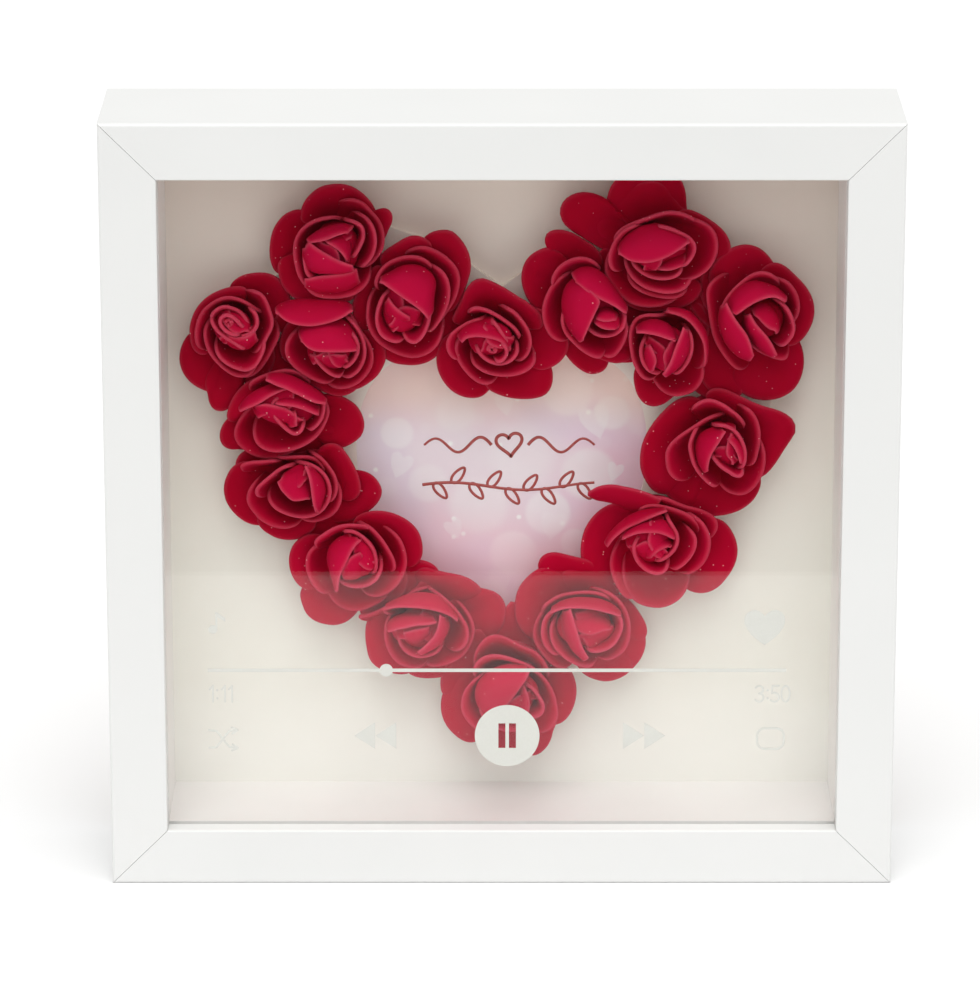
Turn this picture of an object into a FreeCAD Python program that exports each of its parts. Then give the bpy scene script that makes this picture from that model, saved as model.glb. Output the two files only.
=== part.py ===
import FreeCAD, Part
import math
import os
from FreeCAD import Vector as V

# Square shadow-box photo frame with a heart-shaped ring of foam roses.
# Millimetres. X runs to the right, Y from the front to the rear, Z up.
# The origin is the bottom centre of the box round the whole object.
# Depths written "d" are measured from the front face of the rails.

# ---------------------------------------------------------------- dimensions
SIDE = 200.0            # outer width and height of the frame
DEPTH = 40.0            # depth of the rails
FACE_W = 14.35          # visible width of each rail's front face
BODY_W = 10.35          # rail thickness behind the rebate
LIP_T = 5.0             # thickness of the lip in front of the glazing
EDGE_R = 0.7            # rounding of the rails' outer front edge
LIP_R = 0.45            # rounding of the lip's inner front edge
REAR_R = 0.5            # rounding of the outer rear edge
MITRE_GAP = 0.10        # hairline between two rails at a mitre

SHEET = 178.5           # side of the glazing, card, print and back board
GLASS_T = 2.0
INK_T = 0.10            # print on the glazing's inner face
CARD_T = 0.85
RING_T = 2.0
PHOTO_T = 0.25
BOARD_T = 2.0
GLUE_T = 1.0
SPACER_CLEAR = 0.10

D_GLASS = LIP_T
D_INK = D_GLASS + GLASS_T
D_BOARD = DEPTH - BOARD_T
D_PHOTO = D_BOARD - PHOTO_T
D_CARD = D_PHOTO - CARD_T
D_RING = D_CARD - RING_T
D_ROSE = D_RING - GLUE_T          # plane that the rose bases stand on

# turn buttons and their screws
PIVOT_U = 5.2           # pivot's distance from the rail's outer edge
BTN_T = 1.0
BTN_W = 8.0
BTN_REACH = 15.0        # pivot to the tip of the tongue
BTN_TAIL_R = 4.0
BTN_GAP = 0.15          # between the button and the rear face
SCREW_R = 1.5
BTN_HOLE_R = 1.56       # 0.06 mm running clearance on the screw's shank
HEAD_R = 2.9
HEAD_T = 1.35
SCREW_L = 11.0

# hanger
HANG_Z = 152.0          # height of the ring's straight bar
WIRE_R = 0.8
RING_HALF_W = 7.3       # centre line of the ring's legs
RING_LEG = 11.5
STRAP_T = 0.6
STRAP_W = 9.0
STRAP_L = 12.5
LOOP_CLEAR = 0.08
RIVET_R = 1.5
STAND_OUT = 2.0 * (WIRE_R + LOOP_CLEAR + STRAP_T)   # the hanger behind the rails

Y0 = -(DEPTH + STAND_OUT) / 2.0   # y of the rails' front face
CZ = SIDE / 2.0

# Roses: x, z of the centre, radius of the flower, height above its base.
ROSES = {
    1: (-41.5, 164.0, 15.4, 19.5),
    2: (-23.2, 148.5, 15.0, 20.0),
    3: (-67.4, 139.8, 15.2, 19.0),
    4: (-42.0, 136.4, 12.8, 18.5),
    5: (-1.8, 138.0, 15.2, 19.5),
    6: (-53.2, 119.0, 14.6, 19.0),
    7: (-51.8, 99.0, 15.8, 19.0),
    8: (-37.6, 79.0, 16.0, 19.5),
    9: (-18.8, 62.6, 16.6, 19.5),
    10: (2.4, 45.0, 16.8, 19.5),
    11: (20.5, 63.2, 17.0, 20.0),
    12: (40.2, 84.0, 17.8, 20.0),
    13: (55.4, 109.6, 17.4, 20.0),
    14: (65.3, 144.6, 15.8, 19.0),
    15: (42.0, 136.8, 12.6, 18.5),
    16: (39.2, 161.2, 17.6, 20.0),
    17: (20.8, 147.4, 15.6, 19.5),
}
# Where a rose's stem base sits on the ring, as an offset from its centre.
BASE_SHIFT = {1: (0.6, -2.6), 3: (3.2, -1.0), 14: (-2.6, -1.6), 16: (0.0, -1.6),
              7: (0.4, 0.0), 9: (-0.2, -0.4), 10: (-1.0, 0.2)}
ROSE_GAP = 0.4          # clear space between two neighbouring flowers
GLUE_R = 3.6

# Right halves of the two heart outlines, from the notch to the lower tip.
HEART_OUT = [(0.0, 149.1), (4.0, 152.2), (9.0, 155.8), (16.0, 160.0), (25.0, 163.8),
             (35.0, 166.2), (44.5, 164.6), (50.8, 159.4), (56.0, 153.6), (61.6, 149.0),
             (67.2, 144.0), (70.6, 136.8), (71.0, 128.5), (69.2, 118.5), (65.6, 108.0), (60.5, 97.5),
             (54.0, 87.0), (46.0, 76.2), (36.5, 65.0), (25.5, 53.0), (13.0, 40.2),
             (0.0, 27.5)]
HEART_IN = [(0.0, 123.0), (4.0, 126.2), (10.0, 129.6), (17.0, 131.5), (24.0, 131.0),
            (30.0, 127.6), (34.5, 121.5), (36.9, 113.5), (37.4, 105.0), (36.4, 96.0),
            (33.2, 87.0), (28.0, 78.0), (20.5, 68.5), (11.0, 59.8), (0.0, 52.0)]
WINDOW_GROW = 1.03      # the card's window is a little larger than the ring's

os.makedirs("parts", exist_ok=True)


# ------------------------------------------------------------------- helpers
def box(x0, x1, d0, d1, z0, z1):
    return Part.makeBox(x1 - x0, d1 - d0, z1 - z0, V(x0, Y0 + d0, z0))


def poly_face(pts):
    """Closed polygon of (x, y, z) points as a face."""
    vs = [V(*p) for p in pts]
    return Part.Face(Part.makePolygon(vs + [vs[0]]))


def prism(pts, d0, d1):
    """Polygon in X and Z, extruded from depth d0 to d1."""
    return poly_face([(x, Y0 + d0, z) for x, z in pts]).extrude(V(0, d1 - d0, 0))


def rod(x, z, d0, d1, r):
    return Part.makeCylinder(r, d1 - d0, V(x, Y0 + d0, z), V(0, 1, 0))


def turned(shape, quarter):
    """The shape turned about the frame's middle by quarter turns."""
    s = shape.copy()
    s.rotate(V(0, 0, CZ), V(0, 1, 0), 90.0 * quarter)
    return s


def fused(shapes):
    out = shapes[0]
    if len(shapes) > 1:
        out = out.fuse(list(shapes[1:])).removeSplitter()
    return out


def save(name, shape):
    shape.exportStep("parts/%s.step" % name)
    bb = shape.BoundBox
    print("%-22s solids %2d  volume %9.1f  x %.2f..%.2f  y %.2f..%.2f  z %.2f..%.2f  valid %s" % (
        name, len(shape.Solids), shape.Volume, bb.XMin, bb.XMax, bb.YMin, bb.YMax,
        bb.ZMin, bb.ZMax, shape.isValid()))


# --------------------------------------------------------------------- rails
def rail_profile():
    """L section in Y and Z: the wide lip in front, the rebate behind it."""
    def p(u, d):
        return V(0, Y0 + d, u)
    s = math.sqrt(0.5)
    e = [
        Part.LineSegment(p(EDGE_R, 0), p(FACE_W - LIP_R, 0)).toShape(),
        Part.Arc(p(FACE_W - LIP_R, 0),
                 p(FACE_W - LIP_R * (1 - s), LIP_R * (1 - s)),
                 p(FACE_W, LIP_R)).toShape(),
        Part.LineSegment(p(FACE_W, LIP_R), p(FACE_W, LIP_T)).toShape(),
        Part.LineSegment(p(FACE_W, LIP_T), p(BODY_W, LIP_T)).toShape(),
        Part.LineSegment(p(BODY_W, LIP_T), p(BODY_W, DEPTH)).toShape(),
        Part.LineSegment(p(BODY_W, DEPTH), p(REAR_R, DEPTH)).toShape(),
        Part.Arc(p(REAR_R, DEPTH),
                 p(REAR_R * (1 - s), DEPTH - REAR_R * (1 - s)),
                 p(0, DEPTH - REAR_R)).toShape(),
        Part.LineSegment(p(0, DEPTH - REAR_R), p(0, EDGE_R)).toShape(),
        Part.Arc(p(0, EDGE_R), p(EDGE_R * (1 - s), EDGE_R * (1 - s)),
                 p(EDGE_R, 0)).toShape(),
    ]
    return Part.Face(Part.Wire(e))


def chevron(m):
    """One V-nail across the lower left mitre, m along the mitre line."""
    c = BODY_W / 2.0 - 0.2
    cx, cz = -SIDE / 2 + c, c
    ux, uz = math.sqrt(0.5), math.sqrt(0.5)        # towards the opening
    nx, nz = -math.sqrt(0.5), math.sqrt(0.5)       # across the mitre
    leg, rise, t = 3.0, 1.6, 0.55
    pts2 = [(m + rise, -leg), (m + rise + t, -leg), (m + t, 0.0), (m + rise + t, leg),
            (m + rise, leg), (m, 0.0)]
    pts = [(cx + ux * a + nx * b, cz + uz * a + nz * b) for a, b in pts2]
    return prism(pts, DEPTH - 8.2, DEPTH - 0.2)


nails = []
for q in range(4):
    for m in (-4.6, 1.2):
        nails.append(turned(chevron(m), q))

c = MITRE_GAP / 2.0 * math.sqrt(2.0)
bar = rail_profile().extrude(V(SIDE, 0, 0))
bar.translate(V(-SIDE / 2, 0, 0))
wedge = prism([(-SIDE / 2 - 1 + c, -1), (SIDE / 2 + 1 - c, -1), (0, SIDE / 2 - c)],
              -1, DEPTH + 1)
bottom = bar.common(wedge).cut(rod(0, PIVOT_U, DEPTH - SCREW_L + 1.5, DEPTH + 1, SCREW_R))
rails = {"frame_rail_bottom": 0, "frame_rail_left": 1, "frame_rail_top": 2, "frame_rail_right": 3}
for name, q in rails.items():
    r = turned(bottom, q).cut(nails)
    save(name, r)
save("corner_v_nails", Part.makeCompound(nails))

# ------------------------------------------------------- sheets in the rebate
half = SHEET / 2.0
z_lo = BODY_W                     # everything stands on the bottom rebate
z_hi = z_lo + SHEET
save("front_glazing", box(-half, half, D_GLASS, D_GLASS + GLASS_T, z_lo, z_hi))
save("photo_print", box(-half, half, D_PHOTO, D_BOARD, z_lo, z_hi))

# --------------------------------------------------------------- heart shapes
def heart_face(right, grow=1.0):
    zc = 95.0
    pts = [(x * grow, zc + (z - zc) * grow) for x, z in right]
    r = Part.BSplineCurve()
    r.interpolate(Points=[V(x, 0, z) for x, z in pts])
    l = Part.BSplineCurve()
    l.interpolate(Points=[V(-x, 0, z) for x, z in reversed(pts)])
    return Part.Face(Part.Wire([r.toShape(), l.toShape()]))


def heart_prism(right, d0, d1, grow=1.0):
    f = heart_face(right, grow)
    f.translate(V(0, Y0 + d0, 0))
    return f.extrude(V(0, d1 - d0, 0))


card = box(-half, half, D_CARD, D_PHOTO, z_lo, z_hi).cut(
    heart_prism(HEART_IN, D_CARD - 1, D_PHOTO + 1, WINDOW_GROW))
save("background_card", card)
ring = heart_prism(HEART_OUT, D_RING, D_CARD).cut(
    heart_prism(HEART_IN, D_RING - 1, D_CARD + 1))
save("heart_ring", ring)

# -------------------------------------------------------------------- spacers
w_out = SIDE / 2.0 - BODY_W - SPACER_CLEAR         # outer side of the strips
w_in = SIDE / 2.0 - FACE_W                         # inner side, flush with the lip
save("spacer_bottom", box(-w_out, w_out, D_INK, D_CARD, BODY_W, FACE_W))
save("spacer_top", box(-w_out, w_out, D_INK, D_CARD, SIDE - FACE_W, SIDE - BODY_W - SPACER_CLEAR))
save("spacer_left", box(-w_out, -w_in, D_INK, D_CARD, FACE_W + 0.02, SIDE - FACE_W - 0.05))
save("spacer_right", box(w_in, w_out, D_INK, D_CARD, FACE_W + 0.02, SIDE - FACE_W - 0.05))

# ---------------------------------------------------------------------- roses
rose_solids = {}
ids = sorted(ROSES)
for i in ids:
    x, z, r, h = ROSES[i]
    bx, bz = BASE_SHIFT.get(i, (0.0, 0.0))
    # Cup profile (radius, height above the base), turned about its axis.
    prof = [(0, 0), (0.34 * r, 0), (0.62 * r, 0.16 * h), (0.92 * r, 0.34 * h),
            (r, 0.50 * h), (0.95 * r, 0.68 * h), (0.80 * r, 0.86 * h),
            (0.52 * r, h), (0, h)]
    face = poly_face([(x + a, Y0 + D_ROSE - b, z) for a, b in prof])
    cup = face.revolve(V(x, Y0, z), V(0, 1, 0), 360.0)
    for j in ids:
        if j == i:
            continue
        xj, zj, rj, hj = ROSES[j]
        dx, dz = xj - x, zj - z
        dist = math.hypot(dx, dz)
        if dist >= r + rj + ROSE_GAP:
            continue
        # Neighbours press against each other on one flat plane between them.
        t = dist / 2.0 + (r * r - rj * rj) / (2.0 * dist) - ROSE_GAP / 2.0
        keep = Part.makeBox(60, 60, 60, V(-60 + t, -30, -30))
        keep.rotate(V(0, 0, 0), V(0, 1, 0), -math.degrees(math.atan2(dz, dx)))
        keep.translate(V(x, Y0 + D_ROSE - h / 2.0, z))
        cup = cup.common(keep)
    rose_solids[i] = cup
    save("rose_%02d" % i, cup)

dabs = []
for i in ids:
    x, z, r, h = ROSES[i]
    bx, bz = BASE_SHIFT.get(i, (0.0, 0.0))
    dabs.append(rod(x + bx, z + bz, D_ROSE, D_RING, GLUE_R))
save("rose_glue_dabs", Part.makeCompound(dabs))

# -------------------------------------------------------- print on the glazing
def ink(pts):
    return prism(pts, D_INK, D_INK + INK_T)


def ink_disc(x, z, r):
    return rod(x, z, D_INK, D_INK + INK_T, r)


def ink_line(pts, w, closed=False):
    """A drawn line of width w with round joints."""
    out = []
    n = len(pts)
    last = n if closed else n - 1
    for k in range(last):
        (x0, z0), (x1, z1) = pts[k], pts[(k + 1) % n]
        L = math.hypot(x1 - x0, z1 - z0)
        nx, nz = -(z1 - z0) / L * w / 2, (x1 - x0) / L * w / 2
        out.append(ink([(x0 + nx, z0 + nz), (x1 + nx, z1 + nz), (x1 - nx, z1 - nz), (x0 - nx, z0 - nz)]))
    for x, z in pts:
        out.append(ink_disc(x, z, w / 2))
    return fused(out)


def arc_pts(cx, cz, rx, rz, a0, a1, n):
    return [(cx + rx * math.cos(math.radians(a0 + (a1 - a0) * k / n)),
             cz + rz * math.sin(math.radians(a0 + (a1 - a0) * k / n))) for k in range(n + 1)]


def digit(ch, x, z, h, w):
    """Plain numeral in a cell of width 0.5 h whose lower left corner is x, z."""
    c5 = h * 0.5
    if ch == "1":
        return [ink_line([(x + 0.08 * h, z + 0.78 * h), (x + 0.27 * h, z + h), (x + 0.27 * h, z)], w)]
    if ch == "0":
        return [ink_line(arc_pts(x + c5 / 2, z + h / 2, c5 / 2, h / 2, 0, 360, 16)[:-1], w, True)]
    if ch == "3":
        top = arc_pts(x + 0.22 * h, z + 0.76 * h, 0.24 * h, 0.24 * h, 150, -90, 9)
        low = arc_pts(x + 0.22 * h, z + 0.26 * h, 0.26 * h, 0.26 * h, 90, -150, 9)
        return [ink_line(top + low[1:], w)]
    if ch == "5":
        low = arc_pts(x + 0.20 * h, z + 0.29 * h, 0.29 * h, 0.29 * h, 120, -140, 10)
        return [ink_line([(x + 0.46 * h, z + h), (x + 0.08 * h, z + h)] + low, w)]
    if ch == ":":
        return [ink_disc(x + 0.1 * h, z + 0.22 * h, 0.07 * h), ink_disc(x + 0.1 * h, z + 0.72 * h, 0.07 * h)]
    raise ValueError(ch)


marks = []
# progress bar with its knob
marks.append(fused([ink([(-75.1, 54.95), (72.6, 54.95), (72.6, 55.85), (-75.1, 55.85)]),
                    ink_disc(-29.5, 55.4, 1.7)]))
# pause disc with two cut-out bars
px, pz = 1.4, 37.7
disc = ink_disc(px, pz, 8.3)
for s in (-1.35, 1.35):
    disc = disc.cut(box(px + s - 0.9, px + s + 0.9, D_INK - 1, D_INK + 1, pz - 3.35, pz + 3.35))
marks.append(disc)
# rewind and forward arrows
for x0, sgn in ((-27.0, -1), (31.1, 1)):
    for k in (0, 1):
        a = x0 + sgn * (k * 5.45)
        marks.append(ink([(a, 41.3), (a, 34.1), (a + sgn * 5.35, 37.7)]))
# heart
hh = [(0.0, 2.6), (1.2, 3.9), (2.9, 4.35), (4.5, 3.5), (5.2, 1.7), (4.7, -0.3), (3.0, -2.6), (0.0, -5.0)]
hx, hz = 67.0, 67.2
hr = Part.BSplineCurve()
hr.interpolate(Points=[V(hx + a, Y0 + D_INK, hz + b) for a, b in hh])
hl = Part.BSplineCurve()
hl.interpolate(Points=[V(hx - a, Y0 + D_INK, hz + b) for a, b in reversed(hh)])
marks.append(Part.Face(Part.Wire([hr.toShape(), hl.toShape()])).extrude(V(0, INK_T, 0)))
# two crossing arrows
def arrow(pts, w):
    (x0, z0), (x1, z1) = pts[-2], pts[-1]
    a = math.atan2(z1 - z0, x1 - x0)
    head = []
    for ang in (150, -150):
        b = a + math.radians(ang)
        head.append(ink_line([(x1, z1), (x1 + 1.6 * math.cos(b), z1 + 1.6 * math.sin(b))], w))
    return fused([ink_line(pts, w)] + head)


sx, sz = -75.0, 36.8
marks.append(fused([
    arrow([(sx, sz - 2.4), (sx + 1.9, sz - 2.2), (sx + 5.2, sz + 2.2), (sx + 7.3, sz + 2.4)], 0.55),
    arrow([(sx, sz + 2.4), (sx + 1.9, sz + 2.2), (sx + 5.2, sz - 2.2), (sx + 7.3, sz - 2.4)], 0.55)]))
# loop with rounded ends
lx, lz = 68.9, 36.9
loop = (arc_pts(lx + 1.5, lz + 0.9, 1.9, 1.9, 90, 0, 4) + arc_pts(lx + 1.5, lz - 0.9, 1.9, 1.9, 0, -90, 4)
        + arc_pts(lx - 1.5, lz - 0.9, 1.9, 1.9, -90, -180, 4) + arc_pts(lx - 1.5, lz + 0.9, 1.9, 1.9, 180, 90, 4))
marks.append(ink_line(loop, 0.6, True))
# note sign and two plain times
marks.append(fused([ink_disc(-73.6, 66.4, 1.15), ink([(-72.95, 66.4), (-72.45, 66.4), (-72.45, 71.0), (-72.95, 71.0)]),
                    ink([(-72.6, 71.0), (-72.6, 69.8), (-70.4, 68.4), (-70.4, 69.4)])]))
for text, x in (("1:11", -75.0), ("3:50", 64.9)):
    h = 4.3
    for ch in text:
        marks += digit(ch, x, 46.9, h, 0.5)
        x += {":": 0.3, "1": 0.42}.get(ch, 0.62) * h
save("glazing_print", Part.makeCompound(marks))

# ---------------------------------------------------- back board and hardware
board = box(-half, half, D_BOARD, DEPTH, z_lo, z_hi)
rivet_z = HANG_Z - 7.4
board = board.cut(rod(0, rivet_z, D_BOARD - 1, DEPTH + 1, RIVET_R))
board = board.cut(rod(0, rivet_z, D_BOARD - 1, D_BOARD + 0.6, 2.6))
save("back_board", board)

# turn button: a tongue with a round tail, crimped to a shallow ridge
def turn_button():
    d0, d1 = DEPTH + BTN_GAP, DEPTH + BTN_GAP + BTN_T
    body = prism([(-BTN_W / 2, PIVOT_U), (BTN_W / 2, PIVOT_U),
                  (BTN_W / 2 - 0.6, PIVOT_U + BTN_REACH - 3.2), (-BTN_W / 2 + 0.6, PIVOT_U + BTN_REACH - 3.2)], d0, d1)
    tip = rod(0, PIVOT_U + BTN_REACH - 3.4, d0, d1, BTN_W / 2 - 0.6)
    tail = rod(0, PIVOT_U, d0, d1, BTN_TAIL_R)
    b = fused([body, tip, tail])
    rib = box(-0.9, 0.9, d1 - 0.01, d1 + 0.45, PIVOT_U + 4.6, PIVOT_U + BTN_REACH - 3.0)
    rib = rib.makeFillet(0.35, [e for e in rib.Edges if abs(e.BoundBox.YMax - (Y0 + d1 + 0.45)) < 1e-4
                                and abs(e.BoundBox.YMin - (Y0 + d1 + 0.45)) < 1e-4])
    b = fused([b, rib])
    return b.cut(rod(0, PIVOT_U, d0 - 1, d1 + 1, BTN_HOLE_R))


def screw():
    """Pan-head screw: shank with a pointed end, domed head with a cross recess."""
    d_head = DEPTH + BTN_GAP + BTN_T + 0.12
    tip = DEPTH - SCREW_L + 1.5
    pts = [(0, tip), (SCREW_R, tip + 2.2), (SCREW_R, d_head), (HEAD_R, d_head),
           (HEAD_R, d_head + 0.55), (HEAD_R * 0.82, d_head + 1.05), (HEAD_R * 0.45, d_head + HEAD_T),
           (0, d_head + HEAD_T)]
    face = poly_face([(a, Y0 + d, PIVOT_U) for a, d in pts])
    s = face.revolve(V(0, Y0, PIVOT_U), V(0, 1, 0), 360.0)
    for w, l in ((0.32, 1.7), (1.7, 0.32)):
        s = s.cut(box(-w, w, d_head + 0.45, d_head + 3, PIVOT_U - l, PIVOT_U + l))
    return s


btn = turn_button()
scr = screw()
screws = []
for name, q in (("bottom", 0), ("left", 1), ("top", 2), ("right", 3)):
    save("turn_button_" + name, turned(btn, q))
    screws.append(turned(scr, q))
save("turn_button_screws", Part.makeCompound(screws))

# hanger: a strap folded round the ring's bar, riveted to the board
loop_in = WIRE_R + LOOP_CLEAR
loop_out = loop_in + STRAP_T
d_bar = DEPTH + loop_out          # the loop's back touches the board
h2 = STRAP_W / 2.0
outer = Part.makeCylinder(loop_out, STRAP_W, V(-h2, Y0 + d_bar, HANG_Z), V(1, 0, 0))
lower = box(-h2, h2, DEPTH, DEPTH + STRAP_T, HANG_Z - STRAP_L, HANG_Z)
upper = prism([(-h2, HANG_Z - STRAP_L), (h2, HANG_Z - STRAP_L), (h2, HANG_Z - 2.6), (-h2, HANG_Z - 2.6)],
              DEPTH + STRAP_T, DEPTH + 2 * STRAP_T)
# the upper leaf slopes from the loop's outer side down on to the lower leaf
slope = poly_face([(-h2, Y0 + DEPTH + STRAP_T, HANG_Z - 2.6), (-h2, Y0 + DEPTH + 2 * STRAP_T, HANG_Z - 2.6),
                   (-h2, Y0 + d_bar + loop_out - 0.25, HANG_Z - 0.55), (-h2, Y0 + d_bar, HANG_Z),
                   (-h2, Y0 + DEPTH + STRAP_T, HANG_Z)]).extrude(V(STRAP_W, 0, 0))
strap = fused([outer, lower, upper, slope])
strap = strap.cut(Part.makeCylinder(loop_in, STRAP_W + 2, V(-h2 - 1, Y0 + d_bar, HANG_Z), V(1, 0, 0)))
strap = strap.cut(rod(0, rivet_z, DEPTH - 1, DEPTH + 5, RIVET_R))
save("hanger_strap", strap)

# D-shaped wire ring: straight bar through the loop, two legs, a round end
cr = 1.6                           # corner radius of the wire's centre line
q = math.sqrt(0.5)


def wire_at(x, z):
    return V(x, Y0 + d_bar, z)


corner_r = Part.Arc(wire_at(RING_HALF_W - cr, HANG_Z),
                    wire_at(RING_HALF_W - cr * (1 - q), HANG_Z - cr * (1 - q)),
                    wire_at(RING_HALF_W, HANG_Z - cr))
leg_r = Part.LineSegment(wire_at(RING_HALF_W, HANG_Z - cr), wire_at(RING_HALF_W, HANG_Z - RING_LEG))
bow = Part.Arc(wire_at(RING_HALF_W, HANG_Z - RING_LEG),
               wire_at(0, HANG_Z - RING_LEG - RING_HALF_W),
               wire_at(-RING_HALF_W, HANG_Z - RING_LEG))
leg_l = Part.LineSegment(wire_at(-RING_HALF_W, HANG_Z - RING_LEG), wire_at(-RING_HALF_W, HANG_Z - cr))
corner_l = Part.Arc(wire_at(-RING_HALF_W, HANG_Z - cr),
                    wire_at(-RING_HALF_W + cr * (1 - q), HANG_Z - cr * (1 - q)),
                    wire_at(-RING_HALF_W + cr, HANG_Z))
# the section stands on the straight bar's middle, so the wire starts there
half_r = Part.LineSegment(wire_at(0, HANG_Z), wire_at(RING_HALF_W - cr, HANG_Z))
half_l = Part.LineSegment(wire_at(-RING_HALF_W + cr, HANG_Z), wire_at(0, HANG_Z))
spine = Part.Wire([e.toShape() for e in (half_r, corner_r, leg_r, bow, leg_l, corner_l, half_l)])
circle = Part.Wire(Part.makeCircle(WIRE_R, V(0, Y0 + d_bar, HANG_Z), V(1, 0, 0)))
ring_solid = spine.makePipeShell([circle], True, False)
save("hanger_ring", ring_solid)

# rivet: domed head on the strap, flared tail let into the board's inner side
hd = DEPTH + 2 * STRAP_T
prof = [(0, D_BOARD), (2.6, D_BOARD), (2.6, D_BOARD + 0.6), (RIVET_R, D_BOARD + 0.6), (RIVET_R, hd),
        (2.7, hd), (2.6, hd + 0.35), (1.9, hd + 0.8), (0.9, hd + 1.0), (0.9, hd + 0.3), (0, hd + 0.3)]
rivet = poly_face([(a, Y0 + d, rivet_z) for a, d in prof]).revolve(V(0, Y0, rivet_z), V(0, 1, 0), 360.0)
save("hanger_rivet", rivet)
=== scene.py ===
import math

import bpy
import numpy as np
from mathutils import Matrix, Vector


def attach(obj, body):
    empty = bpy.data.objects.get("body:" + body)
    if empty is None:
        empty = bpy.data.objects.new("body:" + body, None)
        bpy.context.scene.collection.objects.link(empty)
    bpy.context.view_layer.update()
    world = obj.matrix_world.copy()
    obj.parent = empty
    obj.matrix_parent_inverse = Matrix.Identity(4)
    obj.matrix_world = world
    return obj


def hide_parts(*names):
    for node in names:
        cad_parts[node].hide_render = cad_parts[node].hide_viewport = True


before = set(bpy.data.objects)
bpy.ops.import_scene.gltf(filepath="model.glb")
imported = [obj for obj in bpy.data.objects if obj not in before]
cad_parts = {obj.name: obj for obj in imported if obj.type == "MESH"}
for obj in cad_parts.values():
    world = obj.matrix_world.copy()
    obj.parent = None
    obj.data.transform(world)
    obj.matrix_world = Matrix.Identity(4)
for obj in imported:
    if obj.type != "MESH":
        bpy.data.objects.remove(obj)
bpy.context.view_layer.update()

scene = bpy.context.scene
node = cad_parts
MM = 0.001
Y0 = -21.48                     # y of the rails' front face, mm

# ---------------------------------------------------------------- camera
scene.view_settings.view_transform = "Standard"
scene.view_settings.look = "None"
scene.view_settings.exposure = 0.0
scene.view_settings.gamma = 1.0

ELEV = math.radians(17.0)
DIST = 1.40
target = Vector((-0.0030, 0.0, 0.0990))
cam_data = bpy.data.cameras.new("camera")
cam_data.sensor_width = 36.0
cam_data.lens = 201.0
cam_data.clip_start = 0.02
cam_data.dof.use_dof = False
cam = bpy.data.objects.new("camera", cam_data)
scene.collection.objects.link(cam)
cam.location = target + DIST * Vector((0.0, -math.cos(ELEV), math.sin(ELEV)))
cam.rotation_euler = (math.pi / 2 - ELEV, 0.0, 0.0)
scene.camera = cam


# ---------------------------------------------------------------- node helpers
class Mat:
    """Builds one node material: m.n(kind, {input: value or socket}, property=value)."""

    def __init__(self, name):
        self.m = bpy.data.materials.new(name)
        self.m.use_nodes = True
        self.t = self.m.node_tree
        self.t.nodes.clear()
        self.out = self.n("ShaderNodeOutputMaterial")
        self.co = self.n("ShaderNodeTexCoord").outputs["Object"]

    def n(self, kind, inputs=None, **props):
        nd = self.t.nodes.new(kind)
        for k, v in props.items():
            setattr(nd, k, v)
        for k, v in (inputs or {}).items():
            sock = nd.inputs[k]
            if isinstance(v, bpy.types.NodeSocket):
                self.t.links.new(v, sock)
            else:
                sock.default_value = v
        return nd

    def math(self, op, a, b=0.0, c=0.0, clamp=False):
        nd = self.n("ShaderNodeMath", {0: a, 1: b, 2: c}, operation=op)
        nd.use_clamp = clamp
        return nd.outputs[0]

    def noise(self, scale, detail=2.0, rough=0.5, vec=None, dist=0.0):
        nd = self.n("ShaderNodeTexNoise", {"Vector": vec or self.co, "Scale": scale, "Detail": detail,
                                           "Roughness": rough, "Distortion": dist})
        return nd.outputs["Fac"]

    def ramp(self, v, lo, hi, a=0.0, b=1.0, smooth=False):
        nd = self.n("ShaderNodeMapRange", {"Value": v, "From Min": lo, "From Max": hi, "To Min": a, "To Max": b})
        nd.interpolation_type = "SMOOTHSTEP" if smooth else "LINEAR"
        return nd.outputs["Result"]

    def mix(self, f, a, b, blend="MIX"):
        nd = self.n("ShaderNodeMix", data_type="RGBA", blend_type=blend)
        for i, v in ((0, f), (6, a), (7, b)):
            if isinstance(v, bpy.types.NodeSocket):
                self.t.links.new(v, nd.inputs[i])
            else:
                nd.inputs[i].default_value = v if i == 0 else (tuple(v) + (1.0,))[:4]
        return nd.outputs[2]

    def sep(self):
        nd = self.n("ShaderNodeSeparateXYZ", {0: self.co})
        return nd.outputs

    def bump(self, height, strength, dist, normal=None):
        ins = {"Height": height, "Strength": strength, "Distance": dist}
        if normal is not None:
            ins["Normal"] = normal
        return self.n("ShaderNodeBump", ins).outputs[0]

    def bsdf(self, **inputs):
        nd = self.n("ShaderNodeBsdfPrincipled", {k.replace("_", " "): v for k, v in inputs.items()})
        self.t.links.new(nd.outputs[0], self.out.inputs[0])
        return nd


def give(mat, *names):
    for nm in names:
        o = node[nm]
        if len(o.material_slots) == 0:
            o.data.materials.append(mat.m)
        for s in o.material_slots:
            s.material = mat.m


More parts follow.
